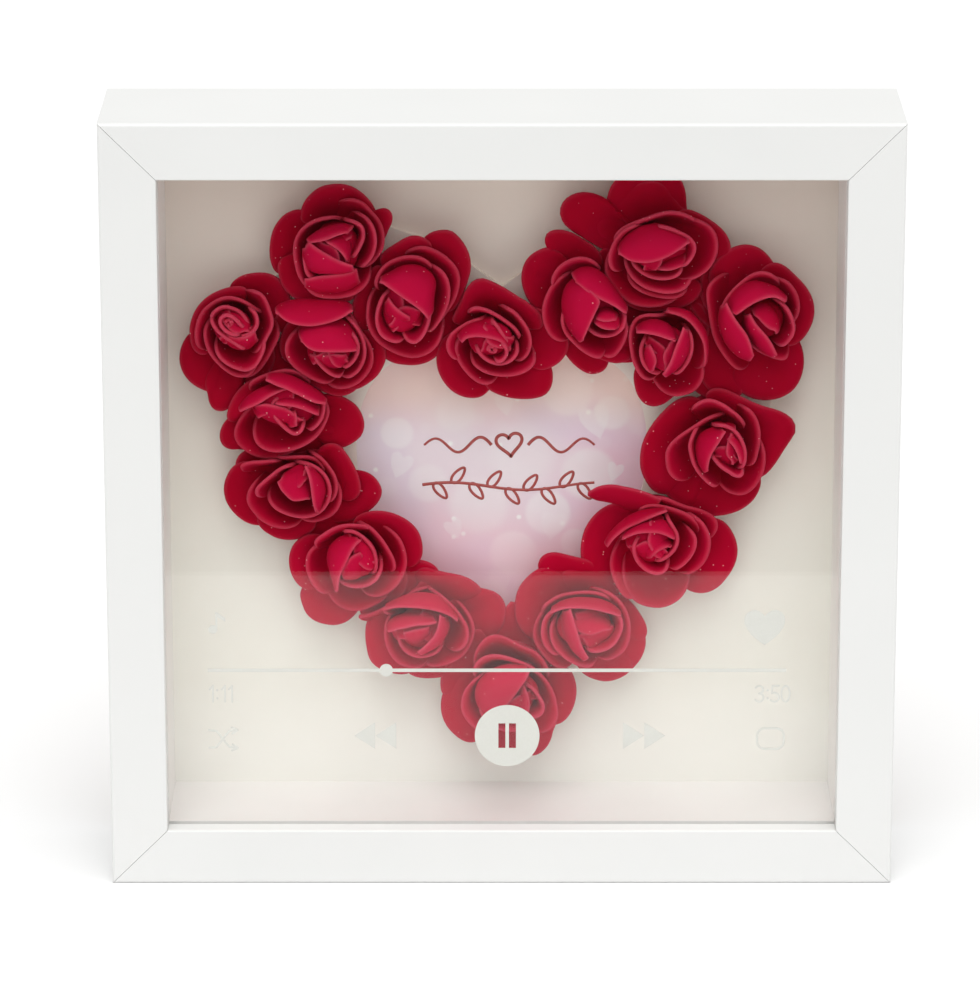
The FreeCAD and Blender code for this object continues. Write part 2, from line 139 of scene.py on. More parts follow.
# ---------------------------------------------------------------- materials of the frame
def make_foil():
    g = Mat("white_foil")
    x, y, z = g.sep()
    fine = g.noise(900.0, 3.0, 0.6)
    wide = g.noise(22.0, 2.0, 0.5)
    face = g.mix(g.ramp(wide, 0.3, 0.7), (0.748, 0.753, 0.741), (0.765, 0.769, 0.757))
    # the foil stops at the rear face, where the board shows
    raw = g.mix(g.ramp(g.noise(1400.0, 4.0, 0.7), 0.3, 0.75), (0.32, 0.215, 0.125), (0.47, 0.35, 0.225))
    back = g.ramp(y, 0.01826, 0.01834)
    col = g.mix(back, face, raw)
    rough = g.math("ADD", g.ramp(fine, 0.2, 0.8, 0.34, 0.46), g.math("MULTIPLY", back, 0.35))
    h = g.math("ADD", g.math("MULTIPLY", fine, 0.6), g.math("MULTIPLY", g.noise(160.0, 2.0), 1.0))
    nrm = g.bump(h, 0.10, 0.0002)
    g.bsdf(Base_Color=col, Roughness=rough, Normal=nrm)
    return g


def make_mdf():
    g = Mat("backing_board")
    fibre = g.n("ShaderNodeMapping", {"Vector": g.co, "Scale": (1.0, 1.0, 0.45)}).outputs[0]
    a = g.noise(1100.0, 5.0, 0.7, fibre)
    b = g.noise(140.0, 3.0, 0.6)
    col = g.mix(g.ramp(a, 0.28, 0.74), (0.155, 0.088, 0.045), (0.355, 0.235, 0.135))
    col = g.mix(g.ramp(b, 0.35, 0.7, 0.0, 0.35), col, (0.40, 0.28, 0.17))
    g.bsdf(Base_Color=col, Roughness=g.ramp(a, 0.2, 0.8, 0.62, 0.82), Normal=g.bump(a, 0.35, 0.00025))
    return g


def make_card():
    g = Mat("cream_card")
    tooth = g.noise(1700.0, 4.0, 0.65)
    cloud = g.noise(30.0, 3.0, 0.55)
    col = g.mix(g.ramp(cloud, 0.3, 0.7), (0.872, 0.856, 0.774), (0.900, 0.890, 0.814))
    col = g.mix(g.ramp(tooth, 0.55, 0.9, 0.0, 0.22), col, (0.920, 0.900, 0.830))
    z = g.sep()[2]
    # painted light on the card: lighter towards the bottom as painted light, a warmer pinker tint over the upper part
    # as painted red-lit shade, and a darker band at the top as the painted shadow of the top rail
    col = g.mix(g.ramp(z, 0.050, 0.018, 0.0, 0.80, smooth=True), col, (0.950, 0.940, 0.885))
    col = g.mix(g.ramp(z, 0.060, 0.160, 0.0, 0.60, smooth=True), col, (0.935, 0.805, 0.725))
    col = g.mix(g.ramp(z, 0.150, 0.188, 0.0, 0.75, smooth=True), col, (0.800, 0.680, 0.600))
    g.bsdf(Base_Color=col, Roughness=0.78, Normal=g.bump(tooth, 0.22, 0.00012))
    return g


def make_ring_board():
    g = Mat("ring_board")
    tooth = g.noise(1900.0, 3.0, 0.6)
    col = g.mix(g.ramp(tooth, 0.3, 0.8), (0.940, 0.868, 0.780), (0.960, 0.890, 0.805))
    g.bsdf(Base_Color=col, Roughness=0.7, Normal=g.bump(tooth, 0.2, 0.0001))
    return g


def make_spacer():
    g = Mat("spacer_board")
    fine = g.noise(700.0, 3.0, 0.6)
    wide = g.noise(40.0, 2.0, 0.5)
    col = g.mix(g.ramp(wide, 0.3, 0.7), (0.925, 0.910, 0.895), (0.945, 0.932, 0.920))
    g.bsdf(Base_Color=col, Roughness=g.ramp(fine, 0.2, 0.8, 0.30, 0.42),
           Normal=g.bump(g.noise(260.0, 2.0), 0.12, 0.0004), Coat_Weight=0.25, Coat_Roughness=0.22)
    return g


def make_glass():
    g = Mat("clear_glass")
    face = g.n("ShaderNodeLayerWeight", {"Blend": 0.5}).outputs["Facing"]
    f5 = g.math("POWER", face, 5.0)
    fac = g.math("ADD", g.math("MULTIPLY", f5, 0.96), 0.028)
    tr = g.n("ShaderNodeBsdfTransparent", {"Color": (0.998, 1.0, 0.997, 1.0)})
    gl = g.n("ShaderNodeBsdfGlossy", {"Color": (1, 1, 1, 1), "Roughness": 0.0})
    mx = g.n("ShaderNodeMixShader", {0: fac, 1: tr.outputs[0], 2: gl.outputs[0]})
    g.t.links.new(mx.outputs[0], g.out.inputs[0])
    return g


def make_ink():
    g = Mat("white_ink")
    grain = g.noise(2600.0, 2.0, 0.5)
    col = g.mix(g.ramp(grain, 0.3, 0.7), (0.704, 0.704, 0.659), (0.728, 0.728, 0.683))
    g.bsdf(Base_Color=col, Roughness=0.42, Normal=g.bump(grain, 0.08, 0.00005))
    return g


def heart_mask(g, x, z, cx, cz, size, turn=0.0, lo=1.12, hi=0.80):
    """Soft heart: 1 inside, 0 outside, centre and half size in metres."""
    c, s = math.cos(turn) / size, math.sin(turn) / size
    dx, dz = g.math("SUBTRACT", x, cx), g.math("SUBTRACT", z, cz)
    u = g.math("ADD", g.math("MULTIPLY", dx, c), g.math("MULTIPLY", dz, s))
    v = g.math("ADD", g.math("MULTIPLY", dx, -s), g.math("MULTIPLY", dz, c))
    w = g.math("SUBTRACT", v, g.math("MULTIPLY", g.math("POWER", g.math("ABSOLUTE", u), 0.667), 0.85))
    r = g.math("ADD", g.math("MULTIPLY", u, u), g.math("MULTIPLY", w, w))
    return g.ramp(r, lo, hi, smooth=True)


def make_photo():
    """Blurred pink and lilac lights with a few pale hearts, laid out freely."""
    g = Mat("photo_paper")
    x, y, z = g.sep()
    big = g.noise(26.0, 1.0, 0.4)
    big2 = g.noise(34.0, 1.0, 0.4, g.n("ShaderNodeMapping", {"Vector": g.co, "Location": (0.31, 0.0, 0.17)}).outputs[0])
    col = g.mix(g.ramp(z, 0.082, 0.106, smooth=True), (0.850, 0.680, 0.750), (0.870, 0.765, 0.820))
    col = g.mix(g.ramp(z, 0.108, 0.128, smooth=True), col, (0.880, 0.700, 0.680))
    col = g.mix(g.ramp(big, 0.40, 0.66, 0.0, 0.75, smooth=True), col, (0.890, 0.560, 0.680))
    col = g.mix(g.ramp(big2, 0.44, 0.68, 0.0, 0.8, smooth=True), col, (0.775, 0.660, 0.800))

    def disc(cx, cz, rad, soft):
        d = g.math("SQRT", g.math("ADD", g.math("POWER", g.math("SUBTRACT", x, cx), 2.0),
                                  g.math("POWER", g.math("SUBTRACT", z, cz), 2.0)))
        return g.ramp(d, rad + soft, rad - soft, smooth=True)

    for cx, cz, rad, soft, gain in (
            (0.0170, 0.1205, 0.0062, 0.0010, 0.55), (-0.0120, 0.1150, 0.0050, 0.0012, 0.42),
            (0.0225, 0.0985, 0.0070, 0.0012, 0.60), (0.0120, 0.0880, 0.0058, 0.0008, 0.62),
            (-0.0060, 0.0900, 0.0075, 0.0016, 0.45), (0.0030, 0.0770, 0.0060, 0.0010, 0.65),
            (-0.0270, 0.1095, 0.0042, 0.0007, 0.60), (-0.0190, 0.0960, 0.0050, 0.0010, 0.42),
            (0.0285, 0.1150, 0.0045, 0.0008, 0.60), (0.0045, 0.1040, 0.0085, 0.0030, 0.40),
            (-0.0030, 0.0650, 0.0048, 0.0010, 0.50), (0.0190, 0.0800, 0.0036, 0.0006, 0.60)):
        col = g.mix(g.math("MULTIPLY", disc(cx, cz, rad, soft), gain), col, (0.930, 0.890, 0.900))
    flat = g.n("ShaderNodeCombineXYZ", {0: x, 1: z}).outputs[0]
    for scale, rad, soft, gain, off in ((92.0, 0.33, 0.07, 0.30, 3.7), (150.0, 0.25, 0.06, 0.28, 9.1)):
        vec = g.n("ShaderNodeVectorMath", {0: flat, 1: (off * 0.01, off * 0.013, 0.0)}, operation="ADD").outputs[0]
        vo = g.n("ShaderNodeTexVoronoi", {"Vector": vec, "Scale": scale, "Randomness": 0.85},
                 voronoi_dimensions="2D", feature="F1")
        cell = g.n("ShaderNodeSeparateColor", {0: vo.outputs["Color"]})
        r = g.math("MULTIPLY", g.ramp(cell.outputs[1], 0.0, 1.0, 0.6, 1.15), rad)
        m = g.ramp(g.math("SUBTRACT", vo.outputs["Distance"], r), soft, -soft, smooth=True)
        m = g.math("MULTIPLY", m, g.ramp(cell.outputs[0], 0.45, 1.0, 0.0, gain))
        col = g.mix(m, col, (0.905, 0.850, 0.880))
    for cx, cz, size, turn, amount in ((0.0245, 0.1115, 0.0040, 0.25, 0.50), (-0.0265, 0.1000, 0.0030, -0.35, 0.45),
                                       (0.0130, 0.0835, 0.0034, -0.20, 0.40), (-0.0120, 0.0830, 0.0024, 0.40, 0.50),
                                       (0.0010, 0.1165, 0.0026, 0.15, 0.40), (0.0290, 0.0985, 0.0022, -0.30, 0.55),
                                       (0.0000, 0.0690, 0.0030, 0.20, 0.35)):
        m = heart_mask(g, x, z, cx, cz, size, turn)
        col = g.mix(g.math("MULTIPLY", m, amount), col, (0.93, 0.905, 0.92))
    spark = g.n("ShaderNodeTexVoronoi", {"Vector": flat, "Scale": 95.0}, voronoi_dimensions="2D", feature="F1")
    pick = g.n("ShaderNodeSeparateColor", {0: spark.outputs["Color"]}).outputs[2]
    m = g.math("MULTIPLY", g.ramp(spark.outputs["Distance"], 0.085, 0.03, smooth=True), g.ramp(pick, 0.66, 0.72))
    col = g.mix(m, col, (0.95, 0.94, 0.94))
    # painted shade on the print: redder towards the bottom as painted red-lit shade under the roses, and warmer towards
    # the top as painted warm shade
    col = g.mix(g.ramp(z, 0.092, 0.074, 0.0, 0.60, smooth=True), col, (0.990, 0.610, 0.700))
    col = g.mix(g.ramp(z, 0.108, 0.122, 0.0, 0.65, smooth=True), col, (0.940, 0.715, 0.600))
    fine = g.noise(1500.0, 2.0, 0.5)
    g.bsdf(Base_Color=col, Roughness=g.ramp(fine, 0.2, 0.8, 0.36, 0.46), Normal=g.bump(fine, 0.05, 0.00005))
    return g


def make_foam():
    """Crimson foam sheet: darker on the low outer petals and pinker on the bud as painted light and shade,
    pinker cut edges (the foam's own edge colour with some painted highlight), fine cells, specks of glitter."""
    g = Mat("rose_foam")
    rim = g.n("ShaderNodeAttribute", attribute_name="rim", attribute_type="GEOMETRY").outputs["Fac"]
    painted_height_shade_at = g.n("ShaderNodeAttribute", attribute_name="painted_height_shade", attribute_type="GEOMETRY").outputs["Fac"]
    mottle = g.noise(95.0, 2.0, 0.5)
    cells = g.noise(3200.0, 3.0, 0.6)
    # painted light and shade by height: petals high in the bud lighter and pinker, low outer petals darker, plus random
    # mottle
    k = g.math("ADD", painted_height_shade_at, g.ramp(mottle, 0.3, 0.7, -0.10, 0.10), clamp=True)
    col = g.mix(k, (0.365, 0.0005, 0.0170), (0.490, 0.0035, 0.0440))
    # painted light: the flowers of the lower half are painted lighter, for the stronger light at the bottom of the box
    painted_low_light = g.ramp(g.sep()[2], 0.100, 0.064, smooth=True)
    col = g.mix(painted_low_light, col, g.mix(k, (0.490, 0.0011, 0.0270), (0.595, 0.0058, 0.0545)))
    # pinker cut edges: partly the foam's own edge colour, partly painted highlight where the edges catch the light;
    # weaker on low petals by the painted height shade
    edge = g.math("MULTIPLY", rim, g.ramp(cells, 0.3, 0.7, 0.40, 0.62))
    col = g.mix(g.math("MULTIPLY", edge, g.ramp(painted_height_shade_at, 0.0, 0.6, 0.60, 1.0)), col, (0.640, 0.095, 0.155))
    vo = g.n("ShaderNodeTexVoronoi", {"Vector": g.co, "Scale": 560.0}, feature="F1")
    rnd = g.n("ShaderNodeSeparateColor", {0: vo.outputs["Color"]})
    speck = g.math("MULTIPLY", g.ramp(vo.outputs["Distance"], 0.105, 0.070), g.ramp(rnd.outputs[0], 0.56, 0.58))
    speck = g.math("MULTIPLY", speck, g.ramp(rnd.outputs[1], 0.2, 1.0, 0.15, 1.0))
    col = g.mix(g.math("MULTIPLY", speck, 0.85), col, (0.95, 0.62, 0.62))
    h = g.math("ADD", g.math("MULTIPLY", cells, 0.7), g.math("MULTIPLY", g.noise(520.0, 2.0, 0.5), 0.8))
    rough = g.math("SUBTRACT", g.ramp(cells, 0.2, 0.8, 0.55, 0.68), g.math("MULTIPLY", speck, 0.3))
    g.bsdf(Base_Color=col, Roughness=rough, Normal=g.bump(h, 0.16, 0.00018),
           Sheen_Weight=0.02, Sheen_Roughness=0.45, Sheen_Tint=(1.0, 0.30, 0.40, 1.0), Specular_IOR_Level=0.02,
           Subsurface_Weight=0.12, Subsurface_Radius=(1.0, 0.12, 0.16), Subsurface_Scale=0.0010)
    return g


def make_steel(name, base, rough, brushed=(1.0, 1.0, 1.0), tint=None):
    g = Mat(name)
    vec = g.n("ShaderNodeMapping", {"Vector": g.co, "Scale": brushed}).outputs[0]
    a = g.noise(1300.0, 3.0, 0.6, vec)
    spangle = g.n("ShaderNodeTexVoronoi", {"Vector": g.co, "Scale": 700.0}, feature="F1").outputs["Color"]
    sp = g.n("ShaderNodeSeparateColor", {0: spangle}).outputs[0]
    dark = tuple(c * 0.86 for c in base)
    col = g.mix(g.ramp(sp, 0.0, 1.0), dark, base)
    if tint:
        col = g.mix(g.ramp(g.noise(180.0, 2.0), 0.4, 0.75, 0.0, 0.4), col, tint)
    r = g.math("ADD", g.ramp(a, 0.25, 0.75, rough - 0.07, rough + 0.09), g.ramp(sp, 0.0, 1.0, 0.0, 0.05))
    g.bsdf(Base_Color=col, Roughness=r, Metallic=1.0, Normal=g.bump(a, 0.12, 0.00008))
    return g


def make_glue():
    g = Mat("hot_glue")
    a = g.noise(420.0, 2.0)
    col = g.mix(g.ramp(a, 0.3, 0.7), (0.70, 0.68, 0.60), (0.79, 0.77, 0.70))
    g.bsdf(Base_Color=col, Roughness=0.32, Normal=g.bump(a, 0.4, 0.0004), Subsurface_Weight=0.15,
           Subsurface_Scale=0.002)
    return g


def make_motif_ink():
    g = Mat("motif_ink")
    a = g.noise(900.0, 2.0)
    col = g.mix(g.ramp(a, 0.3, 0.7), (0.400, 0.066, 0.058), (0.470, 0.090, 0.080))
    g.bsdf(Base_Color=col, Roughness=0.4, Normal=g.bump(a, 0.05, 0.00005))
    return g


FOAM = make_foam()
give(make_foil(), "frame_rail_top", "frame_rail_bottom", "frame_rail_left", "frame_rail_right")
give(make_glass(), "front_glazing")
give(make_ink(), "glazing_print")
give(make_spacer(), "spacer_top", "spacer_bottom", "spacer_left", "spacer_right")
give(make_card(), "background_card")
give(make_ring_board(), "heart_ring")
give(make_photo(), "photo_print")
give(make_mdf(), "back_board")
give(make_glue(), "rose_glue_dabs")
give(make_steel("zinc_steel", (0.60, 0.61, 0.62), 0.30, (0.25, 1.0, 1.0), (0.50, 0.52, 0.56)),
     "turn_button_top", "turn_button_bottom", "turn_button_left", "turn_button_right", "hanger_strap")
give(make_steel("screw_steel", (0.66, 0.66, 0.65), 0.22), "turn_button_screws", "hanger_rivet")
give(make_steel("ring_wire", (0.68, 0.68, 0.67), 0.18), "hanger_ring")
give(make_steel("nail_steel", (0.50, 0.50, 0.50), 0.38, (1.0, 0.2, 1.0)), "corner_v_nails")


# ---------------------------------------------------------------- roses
BASE_Y = 12.42                  # the roses' flat underside, mm
# centre x, centre z, radius, height
ROSES = [
    (-41.5, 164.0, 15.4, 19.5), (-23.2, 148.5, 15.0, 20.0), (-67.4, 139.8, 15.2, 19.0), (-42.0, 136.4, 12.8, 18.5),
    (-1.8, 138.0, 15.2, 19.5), (-53.2, 119.0, 14.6, 19.0), (-51.8, 99.0, 15.8, 19.0), (-37.6, 79.0, 16.0, 19.5),
    (-18.8, 62.6, 16.6, 19.5), (2.4, 45.0, 16.8, 19.5), (20.5, 63.2, 17.0, 20.0), (40.2, 84.0, 17.8, 20.0),
    (55.4, 109.6, 17.4, 20.0), (65.3, 144.6, 15.8, 19.0), (42.0, 136.8, 12.6, 18.5), (39.2, 161.2, 17.6, 20.0),
    (20.8, 147.4, 15.6, 19.5),
]
# middle of each bud from the rose's centre, and its half sizes, mm
BUD = {
    1: (-0.8, -1.4, 7.7, 8.6), 2: (-1.8, -1.0, 6.9, 9.5), 3: (-0.5, 2.9, 6.4, 6.3), 4: (-1.3, -0.2, 7.3, 6.6),
    5: (-0.7, 1.5, 7.4, 6.3), 6: (-2.3, 3.1, 10.9, 7.6), 7: (-0.4, 2.2, 5.0, 6.1), 8: (0.6, 2.6, 7.2, 8.0),
    9: (-2.0, -0.8, 9.5, 6.9), 10: (-0.2, -1.7, 9.0, 8.7), 11: (1.3, -1.0, 9.6, 6.6), 12: (-2.3, 1.9, 7.3, 8.4),
    13: (2.1, 1.3, 5.0, 7.0), 14: (0.1, -0.8, 8.8, 7.7), 15: (-0.8, -0.3, 7.2, 7.2), 16: (-0.1, 1.6, 9.8, 7.5),
    17: (4.5, 0.4, 6.5, 7.5),
}
# petals of each rose, drawn one by one as lines right and up from its centre, mm.
# L low outer petal, C cupped petal and Q hidden lowest petal: height, free edge. F folded petal:
# (height of its root, of its edge), free edge, root. R rolled strip in the middle: height, place, radius.
PETALS = {
    1: [
        ("L", 7, [(-10.2, 4.7), (-9.1, 7.6), (-7.5, 10.5), (-4.6, 13.1), (-1.2, 14.0), (2.2, 13.9), (5.1, 12.6), (7.8, 10.0), (9.6, 6.8), (10.7, 3.4)]),
        ("L", 6, [(-7.0, 6.3), (-10.2, 7.1), (-12.6, 6.3), (-14.7, 4.5), (-16.3, 1.9), (-17.1, -1.5), (-17.2, -4.9), (-16.5, -8.1), (-14.9, -11.2)]),
        ("L", 8, [(7.8, 6.0), (9.9, 7.4), (12.3, 7.9), (13.6, 6.6), (13.5, 4.5), (12.5, 2.1), (11.5, -1.0)]),
        ("L", 8, [(-16.2, -5.7), (-15.1, -9.1), (-14.1, -12.0), (-12.0, -14.6), (-8.8, -16.4), (-4.8, -17.0), (-0.9, -16.9), (2.8, -15.9), (6.0, -14.0), (8.3, -11.4)]),
        ("C", 11, [(0.3, 12.0), (3.7, 12.0), (6.6, 10.7), (8.9, 8.1), (10.8, 5.8), (11.9, 2.4), (11.7, -1.3), (10.2, -4.1), (8.1, -6.5), (5.3, -9.1)]),
        ("C", 13, [(2.2, 6.0), (-0.2, 7.3), (-2.8, 7.3), (-6.2, 6.3), (-8.8, 4.5), (-10.7, 1.6), (-11.2, -1.8), (-10.8, -5.4), (-9.9, -9.0), (-8.3, -12.2), (-5.7, -14.2)]),
        ("C", 12.5, [(-10.2, -7.1), (-9.1, -10.0), (-7.6, -12.3), (-4.9, -13.9), (-1.5, -14.4), (2.2, -14.0), (5.3, -12.8), (8.2, -10.5), (10.3, -7.4)]),
        ("C", 15, [(-4.6, 2.9), (-7.2, 1.1), (-8.5, -2.0), (-8.5, -5.1), (-7.7, -8.0), (-5.6, -10.1)]),
        ("C", 15.5, [(1.7, 7.2), (4.3, 6.9), (6.4, 5.6), (7.0, 2.8), (5.9, -0.1), (4.6, -2.4), (3.3, -4.5)]),
        ("C", 14, [(5.3, 9.4), (7.7, 7.6), (9.5, 4.7), (10.1, 1.3), (9.5, -2.0), (7.7, -5.1), (5.1, -7.7)]),
        ("F", (9, 15.5), [(-8.2, -8.4), (-5.1, -7.6), (-1.4, -7.1), (2.0, -6.7), (4.9, -5.8)],
         [(-8.4, -11.6), (-5.8, -13.2), (-1.6, -13.7), (2.6, -12.9), (5.8, -10.6)]),
        ("F", (12, 18.3), [(-6.8, 1.9), (-3.1, -0.6), (0.3, -2.6), (3.9, -4.1)],
         [(-8.5, -0.9), (-8.5, -4.6), (-6.4, -7.2), (-2.2, -7.7), (1.7, -7.4), (4.6, -6.4)]),
        ("F", (13, 18), [(-6.5, 1.6), (-2.9, 2.3), (-0.0, 3.4), (2.6, 4.3)],
         [(-7.7, 1.3), (-4.8, 3.6), (-1.4, 4.9), (1.7, 5.4), (4.3, 4.9)]),
        ("F", (12, 17.5), [(-2.9, 1.7), (-0.6, 0.4), (1.3, -1.4), (2.3, -3.2)],
         [(-2.0, 2.4), (1.2, 2.9), (3.2, 1.3), (3.5, -1.5), (2.7, -4.4)]),
        ("Q", 4.5, [(3.5, -14.2), (7.1, -12.7), (9.7, -10.3), (11.2, -6.9), (10.7, -3.2), (8.7, -0.6)]),
    ],
    2: [
        ("L", 9, [(-8.4, 10.6), (-6.0, 12.7), (-3.6, 14.5), (-1.0, 16.1), (1.4, 16.6), (3.7, 15.9), (6.1, 14.0)]),
        ("L", 8, [(2.1, 14.2), (4.8, 16.9), (7.9, 17.8), (10.3, 17.6), (12.4, 15.8), (14.0, 13.5), (15.0, 10.9), (15.2, 8.0), (14.5, 5.1), (13.7, 2.5), (12.4, -1.2), (10.6, -4.3)]),
        ("L", 7, [(-9.5, -12.9), (-7.1, -15.4), (-4.5, -17.1), (-1.6, -17.6), (1.6, -17.6), (4.5, -16.8), (6.9, -15.0), (9.0, -12.1)]),
        ("L", 8, [(-8.1, 9.3), (-11.3, 6.2), (-13.4, 2.2), (-14.5, -1.7), (-14.2, -5.8), (-12.6, -9.5)]),
        ("C", 11, [(-3.6, 12.9), (-0.4, 14.5), (2.7, 15.0), (6.1, 14.0), (9.0, 12.2), (11.4, 9.8), (12.7, 6.7), (12.4, 3.6), (11.4, 0.4), (9.5, -2.9), (7.7, -6.3), (5.3, -9.2)]),
        ("C", 13, [(-9.6, 2.6), (-9.3, 5.9), (-8.1, 8.5), (-5.9, 10.9), (-3.0, 12.2), (-0.1, 12.7), (2.7, 12.4), (5.6, 10.9), (7.5, 8.8)]),
        ("C", 12, [(-9.9, 4.6), (-11.2, 1.5), (-11.4, -1.9), (-11.2, -5.3), (-9.9, -8.4), (-7.8, -11.0), (-5.1, -12.8), (-2.3, -14.1), (0.9, -14.6), (4.0, -13.8), (6.9, -11.8), (9.0, -8.4), (10.3, -4.7)]),
        ("C", 13.5, [(5.4, 12.3), (8.5, 9.2), (10.1, 5.3), (10.0, 0.9), (8.5, -3.0), (6.4, -6.7), (4.1, -9.8)]),
        ("C", 15.5, [(-4.3, 5.0), (-6.6, 3.4), (-7.9, 0.9), (-8.7, -2.2), (-8.7, -4.8), (-7.7, -7.4), (-5.6, -9.1), (-3.2, -10.0), (-0.6, -10.5)]),
        ("C", 16.5, [(3.9, 8.4), (4.9, 5.3), (5.0, 1.4), (5.2, -2.2), (4.4, -5.6), (3.1, -8.2), (1.2, -9.7), (-1.1, -9.2), (-2.9, -7.6)]),
        ("F", (11, 17.3), [(-5.3, 2.7), (-3.7, 0.6), (-1.9, -0.9), (-0.1, -2.2)],
         [(-6.2, 0.5), (-6.2, -2.6), (-4.9, -4.4), (-2.5, -4.9), (0.1, -4.1)]),
        ("F", (12, 19), [(-7.6, 7.3), (-5.0, 5.5), (-2.6, 3.7), (0.2, 1.7), (2.6, -0.1), (4.4, -2.5)],
         [(-7.4, 6.8), (-5.1, 8.1), (-1.4, 10.0), (2.2, 10.0), (5.1, 8.4), (6.4, 5.8), (5.9, 2.2), (5.7, -1.7)]),
    ],
    3: [
        ("L", 6, [(-2.2, 8.6), (-1.2, 11.7), (1.2, 13.8), (4.6, 14.7), (8.3, 14.6), (11.2, 13.0), (13.1, 9.9), (13.6, 6.2), (12.0, 3.3)]),
        ("L", 9, [(3.2, 12.3), (-1.0, 11.9), (-4.7, 10.7), (-7.8, 8.6), (-10.2, 5.7), (-11.5, 2.3), (-11.7, -1.0), (-11.0, -4.4), (-9.2, -6.8)]),
        ("L", 6, [(-10.7, 0.2), (-13.0, -2.4), (-14.5, -6.1), (-14.5, -9.2), (-13.3, -12.1), (-11.2, -14.4), (-8.3, -16.0), (-4.9, -16.8), (-1.4, -16.3), (2.0, -14.7)]),
        ("L", 7, [(-8.8, -13.9), (-7.6, -16.5), (-7.2, -18.8), (-6.1, -20.7), (-4.3, -21.2), (-2.2, -20.4), (-0.1, -18.1), (1.5, -15.2)]),
        ("C", 12, [(-10.0, -6.4), (-10.7, -2.8), (-10.7, 0.6), (-10.1, 3.4), (-8.7, 6.6), (-6.6, 8.6), (-4.0, 10.2), (-1.4, 10.6), (1.8, 9.7), (4.7, 8.0), (6.8, 6.8), (9.1, 6.6)]),
        ("C", 13.5, [(2.9, 13.7), (5.3, 12.9), (7.1, 11.6), (8.2, 9.6), (9.0, 7.2), (9.7, 4.9), (9.5, 2.6), (8.4, 0.5), (7.4, -1.6), (6.1, -3.9), (4.5, -6.5)]),
        ("C", 10.5, [(12.5, 3.5), (11.7, 0.4), (10.1, -2.7), (8.5, -5.8), (6.7, -8.7), (4.6, -10.8), (2.0, -12.1), (-0.9, -12.3)]),
        ("C", 12.5, [(-7.4, 5.1), (-8.4, 2.0), (-8.1, -1.6), (-6.8, -4.7), (-4.7, -7.3), (-2.4, -9.4), (0.2, -10.7), (2.9, -10.7), (5.2, -8.9), (7.3, -5.8)]),
        ("C", 14.5, [(-6.2, -1.1), (-5.4, -3.6), (-3.6, -6.0), (-1.5, -7.5), (0.9, -8.5), (3.0, -8.7), (5.1, -7.5), (6.6, -5.2), (7.7, -2.4), (8.5, 1.0)]),
        ("C", 15, [(-6.9, 3.8), (-6.4, 6.4), (-4.8, 8.2), (-2.8, 8.9), (-0.7, 8.4), (1.2, 7.4), (2.5, 5.8), (3.5, 3.8), (3.8, 1.7)]),
        ("C", 16, [(-6.6, 7.4), (-6.2, 5.1), (-4.8, 2.7), (-3.0, 1.2), (-0.9, -0.4), (1.5, -2.2), (3.6, -3.5)]),
        ("C", 16, [(3.8, 9.2), (5.2, 7.7), (5.9, 5.6), (5.7, 3.8), (4.4, 2.1), (2.3, 1.2), (0.2, 0.9)]),
        ("F", (10, 16), [(-2.2, 1.7), (0.2, 0.9), (2.5, 1.1), (4.9, 2.5)],
         [(-2.9, -1.5), (-0.6, -3.3), (2.8, -3.6), (5.7, -1.2)]),
        ("C", 17.5, [(3.7, 2.6), (1.8, 4.1), (0.5, 5.7), (-0.8, 6.8), (-2.3, 7.2), (-3.6, 6.4), (-3.9, 5.0), (-3.1, 3.5), (-1.6, 2.3), (0.5, 1.7), (2.6, 2.1)]),
        ("R", 17.3, (-1.6, 4.8), 1.18),
        ("Q", 4.5, [(-1.4, -13.3), (2.2, -14.6), (5.2, -14.4), (7.8, -12.2), (9.4, -9.1), (9.7, -5.3)]),
    ],
    4: [
        ("L", 8, [(8.3, 4.2), (11.2, 0.8), (12.4, -2.6), (11.5, -5.8), (9.9, -8.4), (7.5, -10.4), (4.9, -11.9), (2.0, -12.3)]),
        ("L", 7, [(6.2, -10.7), (4.3, -12.6), (1.9, -13.7), (-0.4, -13.7), (-3.3, -12.6), (-6.5, -10.7), (-9.4, -8.4)]),
        ("L", 7, [(-8.1, 8.1), (-11.2, 6.5), (-13.3, 3.9), (-14.4, 0.5), (-14.1, -2.9), (-12.6, -6.0)]),
        ("C", 12, [(-10.5, 6.8), (-12.3, 4.0), (-13.2, 0.3), (-12.6, -2.5), (-10.7, -5.0), (-8.4, -6.8), (-5.8, -8.4), (-2.9, -9.8), (0.3, -10.6)]),
        ("C", 11, [(2.6, 12.3), (4.2, 9.2), (6.0, 5.3), (8.1, 2.1), (9.4, -1.0), (9.3, -4.4), (7.6, -7.5), (5.0, -9.8), (1.8, -11.1), (-1.6, -11.1), (-5.0, -9.6)]),
        ("C", 14, [(1.4, 11.0), (3.7, 9.0), (5.8, 6.1), (7.2, 3.2), (7.7, 0.1), (7.2, -3.0), (5.6, -5.8), (3.0, -7.7), (0.1, -8.2)]),
        ("C", 15, [(-6.4, 0.9), (-5.4, -1.7), (-4.1, -3.7), (-2.2, -5.6), (0.1, -6.9), (2.7, -6.9)]),
        ("C", 16, [(3.8, 6.4), (5.4, 4.1), (6.0, 1.7), (5.6, -0.6), (4.6, -2.4), (2.8, -4.0), (0.7, -4.5)]),
        ("F", (10, 16.3), [(-3.2, -0.3), (-0.6, 0.0), (2.3, -0.1)],
         [(-3.9, -2.7), (-2.9, -4.3), (-0.5, -4.8), (2.1, -4.0), (3.4, -2.2)]),
        ("F", (11, 18.5), [(-8.6, 3.7), (-7.1, 2.1), (-5.0, 1.1), (-1.6, 0.9), (1.8, 0.9), (5.3, 1.0)],
